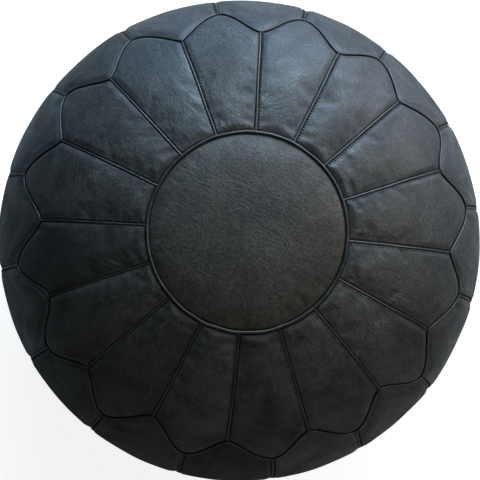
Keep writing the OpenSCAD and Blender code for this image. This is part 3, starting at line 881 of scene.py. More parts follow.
def hide_streaks():
    """Long fine creases and rub marks that run one way across a hide. Both outputs are 0 to 1."""
    g = new_group("hide_streaks", "ShaderNodeTree", [("Vector", VECTOR, None)],
                  [("Crease", VALUE), ("Rub", VALUE)])
    warp = g.node("ShaderNodeTexNoise", {"Vector": g.inside["Vector"], "Scale": 1.6, "Detail": 2.0})
    away = g.node("ShaderNodeVectorMath", {0: warp.outputs["Color"], 1: (0.5, 0.5, 0.5)},
                  operation="SUBTRACT")
    bend = g.node("ShaderNodeVectorMath", {0: away.outputs[0], "Scale": 0.35}, operation="SCALE")
    bent = g.node("ShaderNodeVectorMath", {0: g.inside["Vector"], 1: bend.outputs[0]}, operation="ADD")
    drawn = g.node("ShaderNodeMapping", {"Vector": bent.outputs[0], "Scale": (1.6, 17.0, 1.0)})
    lines = g.node("ShaderNodeTexNoise", {"Vector": drawn.outputs[0], "Scale": 1.5, "Detail": 4.0,
                                          "Roughness": 0.55})
    ridge = g.node("ShaderNodeMath", {0: lines.outputs[0], 1: 0.5}, operation="SUBTRACT")
    fold = g.node("ShaderNodeMath", {0: ridge.outputs[0]}, operation="ABSOLUTE")
    crease = g.node("ShaderNodeMapRange", {"Value": fold.outputs[0], "From Min": 0.0, "From Max": 0.05,
                                           "To Min": 1.0, "To Max": 0.0})
    where = g.node("ShaderNodeTexNoise", {"Vector": g.inside["Vector"], "Scale": 1.7, "Detail": 2.0})
    patch = g.node("ShaderNodeMapRange", {"Value": where.outputs[0], "From Min": 0.46, "From Max": 0.66})
    creased = g.node("ShaderNodeMath", {0: crease.outputs[0], 1: patch.outputs[0]}, operation="MULTIPLY")
    long_drawn = g.node("ShaderNodeMapping", {"Vector": bent.outputs[0], "Scale": (1.1, 26.0, 1.0),
                                              "Location": (3.0, 7.0, 0.0)})
    marks = g.node("ShaderNodeTexNoise", {"Vector": long_drawn.outputs[0], "Scale": 1.2, "Detail": 5.0,
                                          "Roughness": 0.6})
    thin = g.node("ShaderNodeMapRange", {"Value": marks.outputs[0], "From Min": 0.56, "From Max": 0.72})
    rub = g.node("ShaderNodeMath", {0: thin.outputs[0], 1: patch.outputs[0]}, operation="MULTIPLY")
    g.link(creased.outputs[0], g.out["Crease"])
    g.link(rub.outputs[0], g.out["Rub"])
    return g.tree


def pale_flecks():
    """Sparse specks and nicks where the dye has come off. The output is 0 to 1."""
    g = new_group("pale_flecks", "ShaderNodeTree", [("Vector", VECTOR, None), ("Scale", VALUE, 9.0)],
                  [("Fleck", VALUE)])
    drawn = g.node("ShaderNodeMapping", {"Vector": g.inside["Vector"], "Scale": (1.0, 2.3, 1.0)})
    cells = g.node("ShaderNodeTexVoronoi", {"Vector": drawn.outputs[0], "Scale": g.inside["Scale"],
                                            "Randomness": 1.0})
    spot = g.node("ShaderNodeMapRange", {"Value": cells.outputs["Distance"], "From Min": 0.03,
                                         "From Max": 0.10, "To Min": 1.0, "To Max": 0.0})
    where = g.node("ShaderNodeTexNoise", {"Vector": g.inside["Vector"], "Scale": 1.3, "Detail": 3.0})
    patch = g.node("ShaderNodeMapRange", {"Value": where.outputs[0], "From Min": 0.50, "From Max": 0.70})
    chance = g.node("ShaderNodeSeparateColor", {"Color": cells.outputs["Color"]})
    kept = g.node("ShaderNodeMath", {0: chance.outputs[0], 1: 0.72}, operation="GREATER_THAN")
    some = g.node("ShaderNodeMath", {0: spot.outputs[0], 1: kept.outputs[0]}, operation="MULTIPLY")
    fleck = g.node("ShaderNodeMath", {0: some.outputs[0], 1: patch.outputs[0]}, operation="MULTIPLY")
    g.link(fleck.outputs[0], g.out["Fleck"])
    return g.tree


def groove_shade_and_wear():
    """From the attribute 'seam': Groove is painted shade in a seam's groove, Rub the worn roll beside it."""
    g = new_group("groove_shade_and_wear", "ShaderNodeTree", [("Seam", VALUE, 0.0), ("Vector", VECTOR, None)],
                  [("Groove", VALUE), ("Rub", VALUE)])
    deep = g.node("ShaderNodeMapRange", {"Value": g.inside["Seam"], "From Min": 0.46, "From Max": 0.84})
    rise = g.node("ShaderNodeMapRange", {"Value": g.inside["Seam"], "From Min": 0.10, "From Max": 0.32})
    fall = g.node("ShaderNodeMapRange", {"Value": g.inside["Seam"], "From Min": 0.32, "From Max": 0.62,
                                         "To Min": 1.0, "To Max": 0.0})
    band = g.node("ShaderNodeMath", {0: rise.outputs[0], 1: fall.outputs[0]}, operation="MULTIPLY")
    broken = g.node("ShaderNodeTexNoise", {"Vector": g.inside["Vector"], "Scale": 7.0, "Detail": 3.0})
    mask = g.node("ShaderNodeMapRange", {"Value": broken.outputs[0], "From Min": 0.45, "From Max": 0.65})
    worn = g.node("ShaderNodeMath", {0: band.outputs[0], 1: mask.outputs[0]}, operation="MULTIPLY")
    g.link(deep.outputs[0], g.out["Groove"])
    g.link(worn.outputs[0], g.out["Rub"])
    return g.tree


def thread_weave():
    """A plain weave: Over is 1 on top of a thread, Tint varies from thread to thread."""
    g = new_group("thread_weave", "ShaderNodeTree", [("Vector", VECTOR, None), ("Threads", VALUE, 900.0)],
                  [("Over", VALUE), ("Tint", VALUE)])
    scaled = g.node("ShaderNodeVectorMath", {0: g.inside["Vector"], "Scale": g.inside["Threads"]},
                    operation="SCALE")
    parts = g.node("ShaderNodeSeparateXYZ", {0: scaled.outputs[0]})
    depth = g.node("ShaderNodeMath", {0: parts.outputs[1], 1: parts.outputs[2]}, operation="ADD")
    warp = g.node("ShaderNodeMath", {0: parts.outputs[0]}, operation="SINE")
    weft = g.node("ShaderNodeMath", {0: depth.outputs[0]}, operation="SINE")
    cross = g.node("ShaderNodeMath", {0: warp.outputs[0], 1: weft.outputs[0]}, operation="MULTIPLY")
    over = g.node("ShaderNodeMapRange", {"Value": cross.outputs[0], "From Min": -1.0, "From Max": 1.0})
    slubs = g.node("ShaderNodeTexNoise", {"Vector": scaled.outputs[0], "Scale": 0.21, "Detail": 2.0})
    g.link(over.outputs[0], g.out["Over"])
    g.link(slubs.outputs[0], g.out["Tint"])
    return g.tree


GRAIN = pebble_grain()
MOTTLE = dye_mottle()
STREAKS = hide_streaks()
FLECKS = pale_flecks()
GROOVE_SHADE_AND_WEAR = groove_shade_and_wear()
WEAVE = thread_weave()


# ---------------------------------------------------------------------------------------------
# Materials
# ---------------------------------------------------------------------------------------------
def new_material(name, **sockets):
    material = bpy.data.materials.new(name)
    material.use_nodes = True
    build = Tree(material.node_tree)
    build.material = material
    build.shader = material.node_tree.nodes["Principled BSDF"]
    for label, value in sockets.items():
        build.shader.inputs[label.replace("_", " ")].default_value = value
    return build


def blend_colours(b, factor, first, second):
    """Mixes two colours or colour sockets by a factor or its socket."""
    mix = b.node("ShaderNodeMix", data_type="RGBA")
    for socket, value in ((mix.inputs["Factor"], factor), (mix.inputs[6], first), (mix.inputs[7], second)):
        if isinstance(value, bpy.types.NodeSocket):
            b.link(value, socket)
        else:
            socket.default_value = value
    return mix.outputs[2]


def scaled_by(b, value, factor):
    return b.node("ShaderNodeMath", {0: value, 1: factor}, operation="MULTIPLY").outputs[0]


def bumped(b, height, distance):
    bump = b.node("ShaderNodeBump", {"Height": height, "Distance": distance, "Strength": 1.0})
    b.link(bump.outputs[0], b.shader.inputs["Normal"])


def leather_material(name, pale_and_lit_colour):
    """Black full-grain leather, laid out on the 'hide' map; the colour given after the name is what paler
    panels are mixed towards: partly the hide's own pale colour, partly painted light and sheen.
    """
    b = new_material(name, IOR=1.5, Specular_IOR_Level=0.42, Sheen_Weight=0.04,
                     Sheen_Roughness=0.4, Coat_Weight=0.05, Coat_Roughness=0.40)
    hide = b.node("ShaderNodeUVMap", uv_map="hide").outputs[0]
    tone_and_painted_light = b.node("ShaderNodeAttribute", attribute_name="tone_and_painted_light").outputs["Fac"]
    seam = b.node("ShaderNodeAttribute", attribute_name="seam").outputs["Fac"]
    mottle = b.node("ShaderNodeGroup", node_tree=MOTTLE)
    streaks = b.node("ShaderNodeGroup", node_tree=STREAKS)
    grain = b.node("ShaderNodeGroup", node_tree=GRAIN)
    shade_and_wear = b.node("ShaderNodeGroup", node_tree=GROOVE_SHADE_AND_WEAR)
    flecks = b.node("ShaderNodeGroup", node_tree=FLECKS)
    for group in (mottle, streaks, grain, shade_and_wear, flecks):
        b.link(hide, group.inputs["Vector"])
    b.link(seam, shade_and_wear.inputs["Seam"])
    grain.inputs["Scale"].default_value = 50.0

    colour = blend_colours(b, mottle.outputs["Patch"], (0.0055, 0.0053, 0.0052, 1),
                           (0.050, 0.0495, 0.049, 1))
    colour = blend_colours(b, scaled_by(b, mottle.outputs["Haze"], 0.52), colour, (0.080, 0.077, 0.072, 1))
    # painted light and shade: panels set paler on the lights' side are mixed towards the pale colour, over
    # their hide's own lightness
    paler_and_lit = b.node("ShaderNodeMapRange", {"Value": tone_and_painted_light, "From Min": -1.0, "From Max": 1.0,
                                            "To Min": 0.0, "To Max": 0.50}).outputs[0]
    colour = blend_colours(b, paler_and_lit, colour, pale_and_lit_colour)
    # painted shade: panels set darkest, on the side away from the lights, go near black
    darker_and_shaded = b.node("ShaderNodeMapRange", {"Value": tone_and_painted_light, "From Min": -0.6, "From Max": -1.6,
                                           "To Min": 0.0, "To Max": 0.75}).outputs[0]
    colour = blend_colours(b, darker_and_shaded, colour, (0.0040, 0.0040, 0.0042, 1))
    pore = b.node("ShaderNodeMapRange", {"Value": grain.outputs["Height"], "From Min": 0.92,
                                         "From Max": 0.58, "To Min": 0.0, "To Max": 0.65}).outputs[0]
    colour = blend_colours(b, pore, colour, (0.0040, 0.0040, 0.0042, 1))
    colour = blend_colours(b, scaled_by(b, streaks.outputs["Rub"], 0.70), colour, (0.105, 0.106, 0.106, 1))
    # painted shade: colour darkened along the fine creases
    colour = blend_colours(b, scaled_by(b, streaks.outputs["Crease"], 0.30), colour,
                           (0.005, 0.005, 0.005, 1))
    colour = blend_colours(b, scaled_by(b, flecks.outputs["Fleck"], 0.6), colour, (0.20, 0.19, 0.175, 1))
    colour = blend_colours(b, scaled_by(b, shade_and_wear.outputs["Rub"], 0.35), colour, (0.085, 0.088, 0.092, 1))
    # painted shade: the seams' grooves are coloured near black
    colour = blend_colours(b, scaled_by(b, shade_and_wear.outputs["Groove"], 0.96), colour,
                           (0.0015, 0.0015, 0.0016, 1))
    b.link(colour, b.shader.inputs["Base Color"])

    rough = b.node("ShaderNodeMapRange", {"Value": mottle.outputs["Patch"], "To Min": 0.60, "To Max": 0.37})
    waxed = b.node("ShaderNodeMath", {0: rough.outputs[0], 1: scaled_by(b, tone_and_painted_light, -0.11)},
                   operation="ADD").outputs[0]
    duller = b.node("ShaderNodeMath", {0: waxed, 1: scaled_by(b, mottle.outputs["Haze"], 0.10)},
                    operation="ADD").outputs[0]
    rougher = b.node("ShaderNodeMath", {0: duller, 1: scaled_by(b, shade_and_wear.outputs["Groove"], 0.3)},
                     operation="ADD")
    b.link(rougher.outputs[0], b.shader.inputs["Roughness"])

    creases = scaled_by(b, streaks.outputs["Crease"], -0.50)
    pebbles = scaled_by(b, grain.outputs["Height"], 1.0)
    height = b.node("ShaderNodeMath", {0: creases, 1: pebbles}, operation="ADD").outputs[0]
    swale = b.node("ShaderNodeMath", {0: height, 1: scaled_by(b, mottle.outputs["Patch"], 0.9)},
                   operation="ADD").outputs[0]
    bumped(b, swale, 0.00032)
    return b.material


def piping_material():
    """The folded leather of the pipings: the same dye, mottled, and glossier."""
    b = new_material("piping_leather", IOR=1.5, Specular_IOR_Level=0.6, Coat_Weight=0.08,
                     Coat_Roughness=0.35)
    place_in = b.node("ShaderNodeTexCoord").outputs["Object"]
    mottle = b.node("ShaderNodeGroup", node_tree=MOTTLE)
    b.link(place_in, mottle.inputs["Vector"])
    mottle.inputs["Scale"].default_value = 60.0
    grain = b.node("ShaderNodeGroup", node_tree=GRAIN)
    b.link(place_in, grain.inputs["Vector"])
    grain.inputs["Scale"].default_value = 900.0
    colour = blend_colours(b, mottle.outputs["Patch"], (0.010, 0.0105, 0.0115, 1), (0.028, 0.030, 0.033, 1))
    colour = blend_colours(b, scaled_by(b, mottle.outputs["Haze"], 0.4), colour, (0.055, 0.056, 0.058, 1))
    b.link(colour, b.shader.inputs["Base Color"])
    rough = b.node("ShaderNodeMapRange", {"Value": mottle.outputs["Haze"], "To Min": 0.36, "To Max": 0.55})
    b.link(rough.outputs[0], b.shader.inputs["Roughness"])
    bumped(b, grain.outputs["Height"], 0.00012)
    return b.material


def thread_material(name, dark, light):
    """Waxed sewing thread, with its twist as a slant."""
    b = new_material(name, Roughness=0.6, Sheen_Weight=0.05)
    place_in = b.node("ShaderNodeTexCoord").outputs["Object"]
    twist = b.node("ShaderNodeTexWave", {"Vector": place_in, "Scale": 900.0, "Distortion": 1.0})
    colour = blend_colours(b, twist.outputs["Fac"], dark, light)
    b.link(colour, b.shader.inputs["Base Color"])
    bumped(b, twist.outputs["Fac"], 0.00008)
    return b.material


def woven_material(name, dark, light, threads, depth):
    """Woven cotton or tape, in threads about half a millimetre wide."""
    b = new_material(name, Roughness=0.85, Sheen_Weight=0.25)
    place_in = b.node("ShaderNodeTexCoord").outputs["Object"]
    weave = b.node("ShaderNodeGroup", node_tree=WEAVE)
    b.link(place_in, weave.inputs["Vector"])
    weave.inputs["Threads"].default_value = threads
    mottle = b.node("ShaderNodeGroup", node_tree=MOTTLE)
    b.link(place_in, mottle.inputs["Vector"])
    mottle.inputs["Scale"].default_value = 25.0
    colour = blend_colours(b, weave.outputs["Over"], dark, light)
    colour = blend_colours(b, scaled_by(b, mottle.outputs["Haze"], 0.25), colour, dark)
    colour = blend_colours(b, scaled_by(b, weave.outputs["Tint"], 0.3), colour, light)
    b.link(colour, b.shader.inputs["Base Color"])
    bumped(b, weave.outputs["Over"], depth)
    return b.material


def flock_material():
    """Packed cotton flock."""
    b = new_material("cotton_flock", Roughness=0.95, Sheen_Weight=0.4)
    place_in = b.node("ShaderNodeTexCoord").outputs["Object"]
    fluff = b.node("ShaderNodeTexNoise", {"Vector": place_in, "Scale": 140.0, "Detail": 8.0,
                                          "Roughness": 0.7})
    mottle = b.node("ShaderNodeGroup", node_tree=MOTTLE)
    b.link(place_in, mottle.inputs["Vector"])
    mottle.inputs["Scale"].default_value = 18.0
    colour = blend_colours(b, mottle.outputs["Patch"], (0.58, 0.54, 0.44, 1), (0.78, 0.75, 0.67, 1))
    colour = blend_colours(b, scaled_by(b, mottle.outputs["Haze"], 0.3), colour, (0.42, 0.38, 0.30, 1))
    b.link(colour, b.shader.inputs["Base Color"])
    bumped(b, fluff.outputs[0], 0.0015)
    return b.material


def nylon_material():
    b = new_material("black_nylon", IOR=1.53, Specular_IOR_Level=0.5)
    place_in = b.node("ShaderNodeTexCoord").outputs["Object"]
    scuff = b.node("ShaderNodeTexNoise", {"Vector": place_in, "Scale": 500.0, "Detail": 3.0})
    colour = blend_colours(b, scuff.outputs[0], (0.012, 0.012, 0.013, 1), (0.045, 0.045, 0.047, 1))
    b.link(colour, b.shader.inputs["Base Color"])
    rough = b.node("ShaderNodeMapRange", {"Value": scuff.outputs[0], "To Min": 0.28, "To Max": 0.5})
    b.link(rough.outputs[0], b.shader.inputs["Roughness"])
    bumped(b, scuff.outputs[0], 0.00004)
    return b.material


def brass_material():
    """Antiqued brass: dark tarnish and rubbed bright brass, in patches."""
    b = new_material("antique_brass", Metallic=1.0)
    place_in = b.node("ShaderNodeTexCoord").outputs["Object"]
    tarnish = b.node("ShaderNodeTexNoise", {"Vector": place_in, "Scale": 420.0, "Detail": 6.0,
                                            "Roughness": 0.7})
    patch = b.node("ShaderNodeMapRange", {"Value": tarnish.outputs[0], "From Min": 0.38, "From Max": 0.64})
    colour = blend_colours(b, patch.outputs[0], (0.16, 0.115, 0.055, 1), (0.50, 0.40, 0.22, 1))
    b.link(colour, b.shader.inputs["Base Color"])
    rough = b.node("ShaderNodeMapRange", {"Value": patch.outputs[0], "To Min": 0.55, "To Max": 0.30})
    b.link(rough.outputs[0], b.shader.inputs["Roughness"])
    scratches = b.node("ShaderNodeMapping", {"Vector": place_in, "Scale": (300.0, 4000.0, 900.0)})
    lines = b.node("ShaderNodeTexNoise", {"Vector": scratches.outputs[0], "Scale": 1.0, "Detail": 2.0})
    bumped(b, lines.outputs[0], 0.00003)
    return b.material


# ---------------------------------------------------------------------------------------------
# Pipings and stitches
# ---------------------------------------------------------------------------------------------
def skin_path(line, s, lift):
    angle = line_angle(line)
    _, _, nr, nz = outline(s)
    points = place(angle, s, lift)
    return points, np.stack([nr * np.cos(angle), nr * np.sin(angle), nz], -1)


def sway_along(s, seed):
    """A hand-sewn seam's small wander, in metres."""
    return 0.0006 * flat_noise(s / 0.035, 0.0, seed)


def wandering_path(line, s, lift, seed, sideways=0.0):
    """A path down a line number that wanders a little and may lie beside the line."""
    r = outline(s)[0]
    return skin_path(line + (sway_along(s, seed) + sideways) / (r * HALF_STEP), s, lift)


def petal_seam_s(line):
    return np.linspace(S_RING + RING_PIPING_R, float(scallop_s(line)) - SCALLOP_PIPING_R, 90)


def side_seam_s(line):
    return np.linspace(float(scallop_s(line)) + SCALLOP_PIPING_R, S_BASE - BASE_PIPING_R, 190)


def piping_lift(s, radius):
    """Height of a side piping's middle: just below the panels' faces, and flush with them at the toe."""
    sunk = 0.0009
    return -sunk - (radius - sunk) * smooth((s - S_GIRTH - 0.10) / 0.06)


def make_pipings(tree, leather):
    pieces = {}
    odd, even = range(1, LINES, 2), range(0, LINES, 2)

    def tube(name, paths, radius, closed=False, uneven=0.00018):
        mesh = path_mesh(name, [p for p, _ in paths], [o for _, o in paths], closed)
        values = {"Radius": radius, "Leather": leather, "Unevenness": uneven}
        pieces[name] = run_tree(name, mesh, tree, values)

    paths = []
    for line in odd:
        paths.append(wandering_path(line, petal_seam_s(line), -0.0006, PETAL_WANDER + line))
    tube("petal_piping", paths, SEAM_PIPING_R)
    paths = []
    for line in even:
        s = side_seam_s(line)
        paths.append(wandering_path(line, s, piping_lift(s, SEAM_PIPING_R), SIDE_WANDER + line))
    tube("side_piping", paths, SEAM_PIPING_R)
    turns = np.arange(0, LINES, 0.04)
    across, along = np.cos(turns * HALF_STEP) * 5, np.sin(turns * HALF_STEP) * 5
    wobble = 0.0008 * flat_noise(across, along, RING_WANDER)
    tube("top_ring_piping", [skin_path(turns, S_RING + wobble, 0.0002)], RING_PIPING_R, closed=True)
    turns = np.arange(0, LINES, 0.03)
    tube("scallop_piping", [skin_path(turns, scallop_s(turns) + 0.0003, 0.0002)], SCALLOP_PIPING_R,
         closed=True, uneven=0.00012)
    turns = np.arange(0, LINES, 0.05)
    points, outs = skin_path(turns, np.full_like(turns, S_BASE), 0.0)
    points[:, 2] = BASE_PIPING_R
    tube("base_ring_piping", [(points, outs)], BASE_PIPING_R, closed=True)
    return pieces


def faces_of(panels):
    """All the faces of some panels, ready for rays."""
    points, faces = [], []
    for panel in panels:
        first = len(points)
        points.extend(vertex.co.copy() for vertex in panel.data.vertices)
        faces.extend([first + index for index in face.vertices] for face in panel.data.polygons)
    return BVHTree.FromPolygons(points, faces)


def laid_on(leather, path, lift):
    """A path let down onto the leather's faces, from a little above them."""
    above = 0.006
    points, outs = path
    laid = []
    for point, out in zip(points, outs):
        out = Vector(out)
        found = leather.ray_cast(Vector(point) + above * out, -out, 2 * above)[0]
        laid.append(Vector(point) if found is None else found + lift * out)
    return np.array(laid), outs


# from stitch to stitch beside the piped seams, and how far each bites across
SEAM_PITCH = 0.0033
SEAM_BITE = 0.0024


def make_stitches(tree, thread, petals, sides):
    pieces = {}
    beside = SEAM_PIPING_R + 0.0016

    def row(name, paths, pitch, bite, closed=False, seed=1):
        mesh = path_mesh(name, [p for p, _ in paths], [o for _, o in paths], closed)
        values = {"Pitch": pitch, "Bite": bite, "Turn": math.pi / 2, "Seed": seed,
                  "Thread Material": thread}
        pieces[name] = run_tree(name, mesh, tree, values)

    top, flank = faces_of(petals), faces_of(sides)
    # the last points of a side seam lie under the toe, where no stitch shows
    on_floor = 14
    paths = []
    for line in range(1, LINES, 2):
        path = wandering_path(line, petal_seam_s(line), 0.0, PETAL_WANDER + line, -beside)
        paths.append(laid_on(top, path, 0.0002))
    row("petal_stitches", paths, SEAM_PITCH, SEAM_BITE)
    paths = []
    for line in range(0, LINES, 2):
        path = wandering_path(line, side_seam_s(line)[:-on_floor], 0.0, SIDE_WANDER + line, beside)
        paths.append(laid_on(flank, path, 0.0))
    row("side_stitches", paths, SEAM_PITCH, SEAM_BITE, seed=2)
    turns = np.arange(0, LINES, 0.04)
    row("ring_stitches", [skin_path(turns, np.full_like(turns, S_RING - RING_PIPING_R - 0.0008), -0.0009)],
        0.0029, 0.0022, closed=True, seed=3)
    return pieces


# ---------------------------------------------------------------------------------------------
# The base
# ---------------------------------------------------------------------------------------------
TAPE_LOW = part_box("zip_tape_left")[0]
TAPE_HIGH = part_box("zip_tape_left")[1]
SLOT_HALF_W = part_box("base_half_left")[0].y
SLOT_HALF_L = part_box("zip_end_tab_top")[0].x
ZIP_HALF_L = -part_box("zip_bottom_stop")[0].x
BASE_REACH = BASE_R - BASE_SETBACK
STITCH_INSET = 0.0062


def base_sheet(name, side, material):
    """A half-moon of leather on the floor, whose straight edge turns up into a lip beside the zip."""
    across, down, lip_rows = 150, 84, 12
    bend_r = 0.0022
    lip_top = TAPE_LOW.z - 0.0001
    x_t, y_t = np.meshgrid(eased(across, 0.5), eased(down, 0.5))
    reach = BASE_REACH
    half = math.sqrt(reach ** 2 - SLOT_HALF_W ** 2)
    x = (2 * x_t - 1) * half
    y_edge = SLOT_HALF_W + bend_r
    y_out = np.sqrt(np.maximum(reach ** 2 - x ** 2, y_edge ** 2))
    y = y_edge + y_t * (y_out - y_edge)
    r = np.hypot(x, y)
    from_rim = reach - r
    sag = 0.0009 * smooth(0.5 + noise(np.stack([x / 0.05, y / 0.05, 0 * x], -1), 60))
    sag = sag * smooth(from_rim / 0.02) * smooth((y - y_edge) / 0.02)
    pulled_in = 0.0006 * np.exp(-((y - SLOT_HALF_W - STITCH_INSET) / 0.0018) ** 2)
    z = sag + pulled_in + roll(from_rim, 0.0030, 0.0016)
    flat = np.stack([x, side * y, z], -1)
    # the lip: a quarter bend, then straight up, closest to the zip last
    turn = np.linspace(math.pi / 2, 0, lip_rows // 2 + 1)[1:]
    rows = []
    for angle in turn:
        rows.append((y_edge - bend_r * math.cos(angle), bend_r - bend_r * math.sin(angle)))
    for level in np.linspace(bend_r, lip_top, lip_rows // 2 + 1)[1:]:
        rows.append((SLOT_HALF_W, level))
    lip = [np.stack([x[0], np.full(across, side * yy), np.full(across, zz)], -1) for yy, zz in rows]
    points = np.concatenate([np.array(lip[::-1]), flat], 0)
    faces = grid_faces(len(points), across)
    piece = make_piece(name, points, faces, material)
    face_outwards(piece, Vector((0, side * reach / 2, 0)), Vector((0, 0, -1)))
    add_hide_map(piece, points[..., :2] * 10 + (17 if side > 0 else 31), -0.2 * side)
    distance = np.concatenate([np.full((len(rows), across), 0.004), np.minimum(from_rim, 0.05)], 0)
    add_edge_map(piece, distance)
    thicken(piece, LEATHER_T)
    return piece


def face_outwards(piece, near, direction):
    """Flips an open sheet if its face nearest to a point looks away from a direction."""
    mesh = piece.data
    face = min(mesh.polygons, key=lambda p: (p.center - near).length)
    if face.normal.dot(direction) < 0:
        mesh.flip_normals()


def end_tab(name, side, material):
    """The tab that closes the slot past one end of the zip, with its own lip."""
    across, down = 26, 30
    half_w = SLOT_HALF_W - PIPING_GAP
    bend_r = 0.0020
    x_edge = SLOT_HALF_L + bend_r
    v, u = np.meshgrid(np.linspace(-1, 1, across), eased(down, 0.4))
    y = v * half_w
    x_out = np.sqrt(BASE_REACH ** 2 - y ** 2)
    x = x_edge + u * (x_out - x_edge)
    from_rim = x_out - x
    pulled_in = 0.0006 * np.exp(-((x - SLOT_HALF_L - STITCH_INSET) / 0.0018) ** 2)
    z = 0.0002 + pulled_in + roll(from_rim, 0.0030, 0.0016) + roll(half_w - np.abs(y), 0.0012, 0.0006)
    flat = np.stack([side * x, y, z], -1)
    rows = []
    for angle in np.linspace(math.pi / 2, 0, 6)[1:]:
        rows.append((x_edge - bend_r * math.cos(angle), 0.0002 + bend_r - bend_r * math.sin(angle)))
    for level in np.linspace(bend_r + 0.0002, TAPE_LOW.z - 0.0001, 5)[1:]:
        rows.append((SLOT_HALF_L, level))
    lip = [np.stack([np.full(across, side * xx), y[0], np.full(across, zz)], -1) for xx, zz in rows]
    points = np.concatenate([np.array(lip[::-1]), flat], 0)
    piece = make_piece(name, points, grid_faces(len(points), across), material)
    face_outwards(piece, Vector((side * (SLOT_HALF_L + 0.01), 0, 0)), Vector((0, 0, -1)))
    add_hide_map(piece, points[..., :2] * 10 + 47 * side, 0.3)
    add_edge_map(piece, np.full(points.shape[:2], 0.01))
    thicken(piece, LEATHER_T)
    return piece


def base_stitches(tree, thread):
    """Rows of running stitch beside the slot and across its ends, on the leather's floor side."""
    inset = STITCH_INSET
    z = 0.0005
    length = np.linspace(-SLOT_HALF_L - 0.004, SLOT_HALF_L + 0.004, 200)
    down = np.tile([0.0, 0.0, -1.0], (200, 1))
    paths, outs = [], []
    for side in (-1, 1):
        beside = np.full_like(length, side * (SLOT_HALF_W + inset))
        paths.append(np.stack([length, beside, np.full_like(length, z)], -1))
        outs.append(down)
        width = np.linspace(-SLOT_HALF_W + 0.0015, SLOT_HALF_W - 0.0015, 30)
        past_end = np.full_like(width, side * (SLOT_HALF_L + inset))
        paths.append(np.stack([past_end, width, np.full_like(width, z)], -1))
        outs.append(down[:30])
    mesh = path_mesh("base_stitches", paths, outs)
    values = {"Pitch": 0.0042, "Bite": 0.0030, "Turn": 0.0, "Rise": 0.00012, "Thread": 0.00028, "Seed": 5,
              "Thread Material": thread}
    return run_tree("base_stitches", mesh, tree, values)


# ---------------------------------------------------------------------------------------------
# The zip
# ---------------------------------------------------------------------------------------------
def zip_tape(name, side, material):
    """A woven tape with a thicker beaded edge towards the coil and a little ripple."""
    across, along = 22, 260
    y_low, y_high = TAPE_LOW.y, TAPE_HIGH.y
    v, u = np.meshgrid(np.linspace(0, 1, across), np.linspace(-1, 1, along))
    x = u * TAPE_HIGH.x
    # past the stops the two tapes' edges are drawn together
    y_low = y_low + (0.0002 - y_low) * smooth((np.abs(x) - ZIP_HALF_L) / 0.006)
    y = y_low + v * (y_high - y_low)
    ripple = 0.00012 * flat_noise(x / 0.012, y / 0.02, 70 + side)
    middle = (TAPE_LOW.z + TAPE_HIGH.z) / 2
    half = 0.00028 + 0.00012 * np.exp(-((v - 0.06) / 0.05) ** 2)
    top = np.stack([x, side * y, middle + half + ripple], -1)
    bottom = np.stack([x, side * y, middle - half + ripple], -1)
    return closed_slab(name, bottom, top, material)


def closed_slab(name, bottom, top, material):
    """A closed solid between two grids of the same shape."""
    deep, wide = bottom.shape[:2]
    count = deep * wide
    faces = grid_faces(deep, wide)
    faces += [tuple(count + i for i in reversed(f)) for f in grid_faces(deep, wide)]
    rim = [c for c in range(wide)] + [r * wide + wide - 1 for r in range(1, deep)]
    rim += [(deep - 1) * wide + c for c in range(wide - 2, -1, -1)]
    rim += [r * wide for r in range(deep - 2, 0, -1)]
    for i, a in enumerate(rim):
        b = rim[(i + 1) % len(rim)]
        faces.append((a, b, count + b, count + a))
    piece = make_piece(name, np.concatenate([bottom.reshape(-1, 3), top.reshape(-1, 3)]), faces, material)
    tidy_normals(piece)
    return piece


def tidy_normals(piece):
    work = bmesh.new()
    work.from_mesh(piece.data)
    bmesh.ops.remove_doubles(work, verts=work.verts, dist=1e-6)
    bmesh.ops.recalc_face_normals(work, faces=work.faces)
    work.to_mesh(piece.data)
    work.free()


def zip_coil(name, side, tree, nylon):
    """One coil of the chain, wound beside the middle and sewn to its own tape."""
    low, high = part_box(name)
    pitch = 0.003
    strand = 0.00042
    start, end = low.x, high.x
    z = (low.z + high.z) / 2
    inner, outer = (low.y, high.y) if side > 0 else (high.y, low.y)
    y = (inner + outer) / 2
    mesh = bpy.data.meshes.new(name)
    mesh.from_pydata([(start, y, z), (end, y, z)], [(0, 1)], [])
    return run_tree(name, mesh, tree, {"Pitch": pitch, "Width": abs(outer - inner) - 2 * strand,
                                       "Height": high.z - low.z - 2 * strand, "Strand": strand,
                                       "Nylon": nylon})


def softened(node, width, material):
    """A copy of a CAD node's mesh with its edges eased, as cast metal has."""
    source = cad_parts[node]
    mesh = source.data.copy()
    work = bmesh.new()
    work.from_mesh(mesh)
    bmesh.ops.remove_doubles(work, verts=work.verts, dist=1e-6)
    bmesh.ops.dissolve_limit(work, angle_limit=math.radians(2), verts=work.verts, edges=work.edges)
    work.to_mesh(mesh)
    work.free()
    mesh.materials.clear()
    mesh.materials.append(material)
    piece = bpy.data.objects.new(node + "_finished", mesh)
    bpy.context.collection.objects.link(piece)
    bevel = piece.modifiers.new("eased_edges", "BEVEL")
    bevel.width = width
    bevel.segments = 2
    bevel.limit_method = "ANGLE"
    bevel.angle_limit = math.radians(35)
    bevel.use_clamp_overlap = True
    settle_modifiers(piece)
    piece.data.shade_smooth()
    piece.data.set_sharp_from_angle(angle=math.radians(38))
    return piece


# ---------------------------------------------------------------------------------------------
# Lining and stuffing
# ---------------------------------------------------------------------------------------------
CHANNEL_X = TAPE_HIGH.x + 0.0006
CHANNEL_Y = TAPE_HIGH.y + 0.0006


def to_rectangle(angle):
    """Distance from the axis to the zip channel's edge, at an angle."""
    return np.minimum(CHANNEL_X / np.maximum(np.abs(np.cos(angle)), 1e-6),
                      CHANNEL_Y / np.maximum(np.abs(np.sin(angle)), 1e-6))


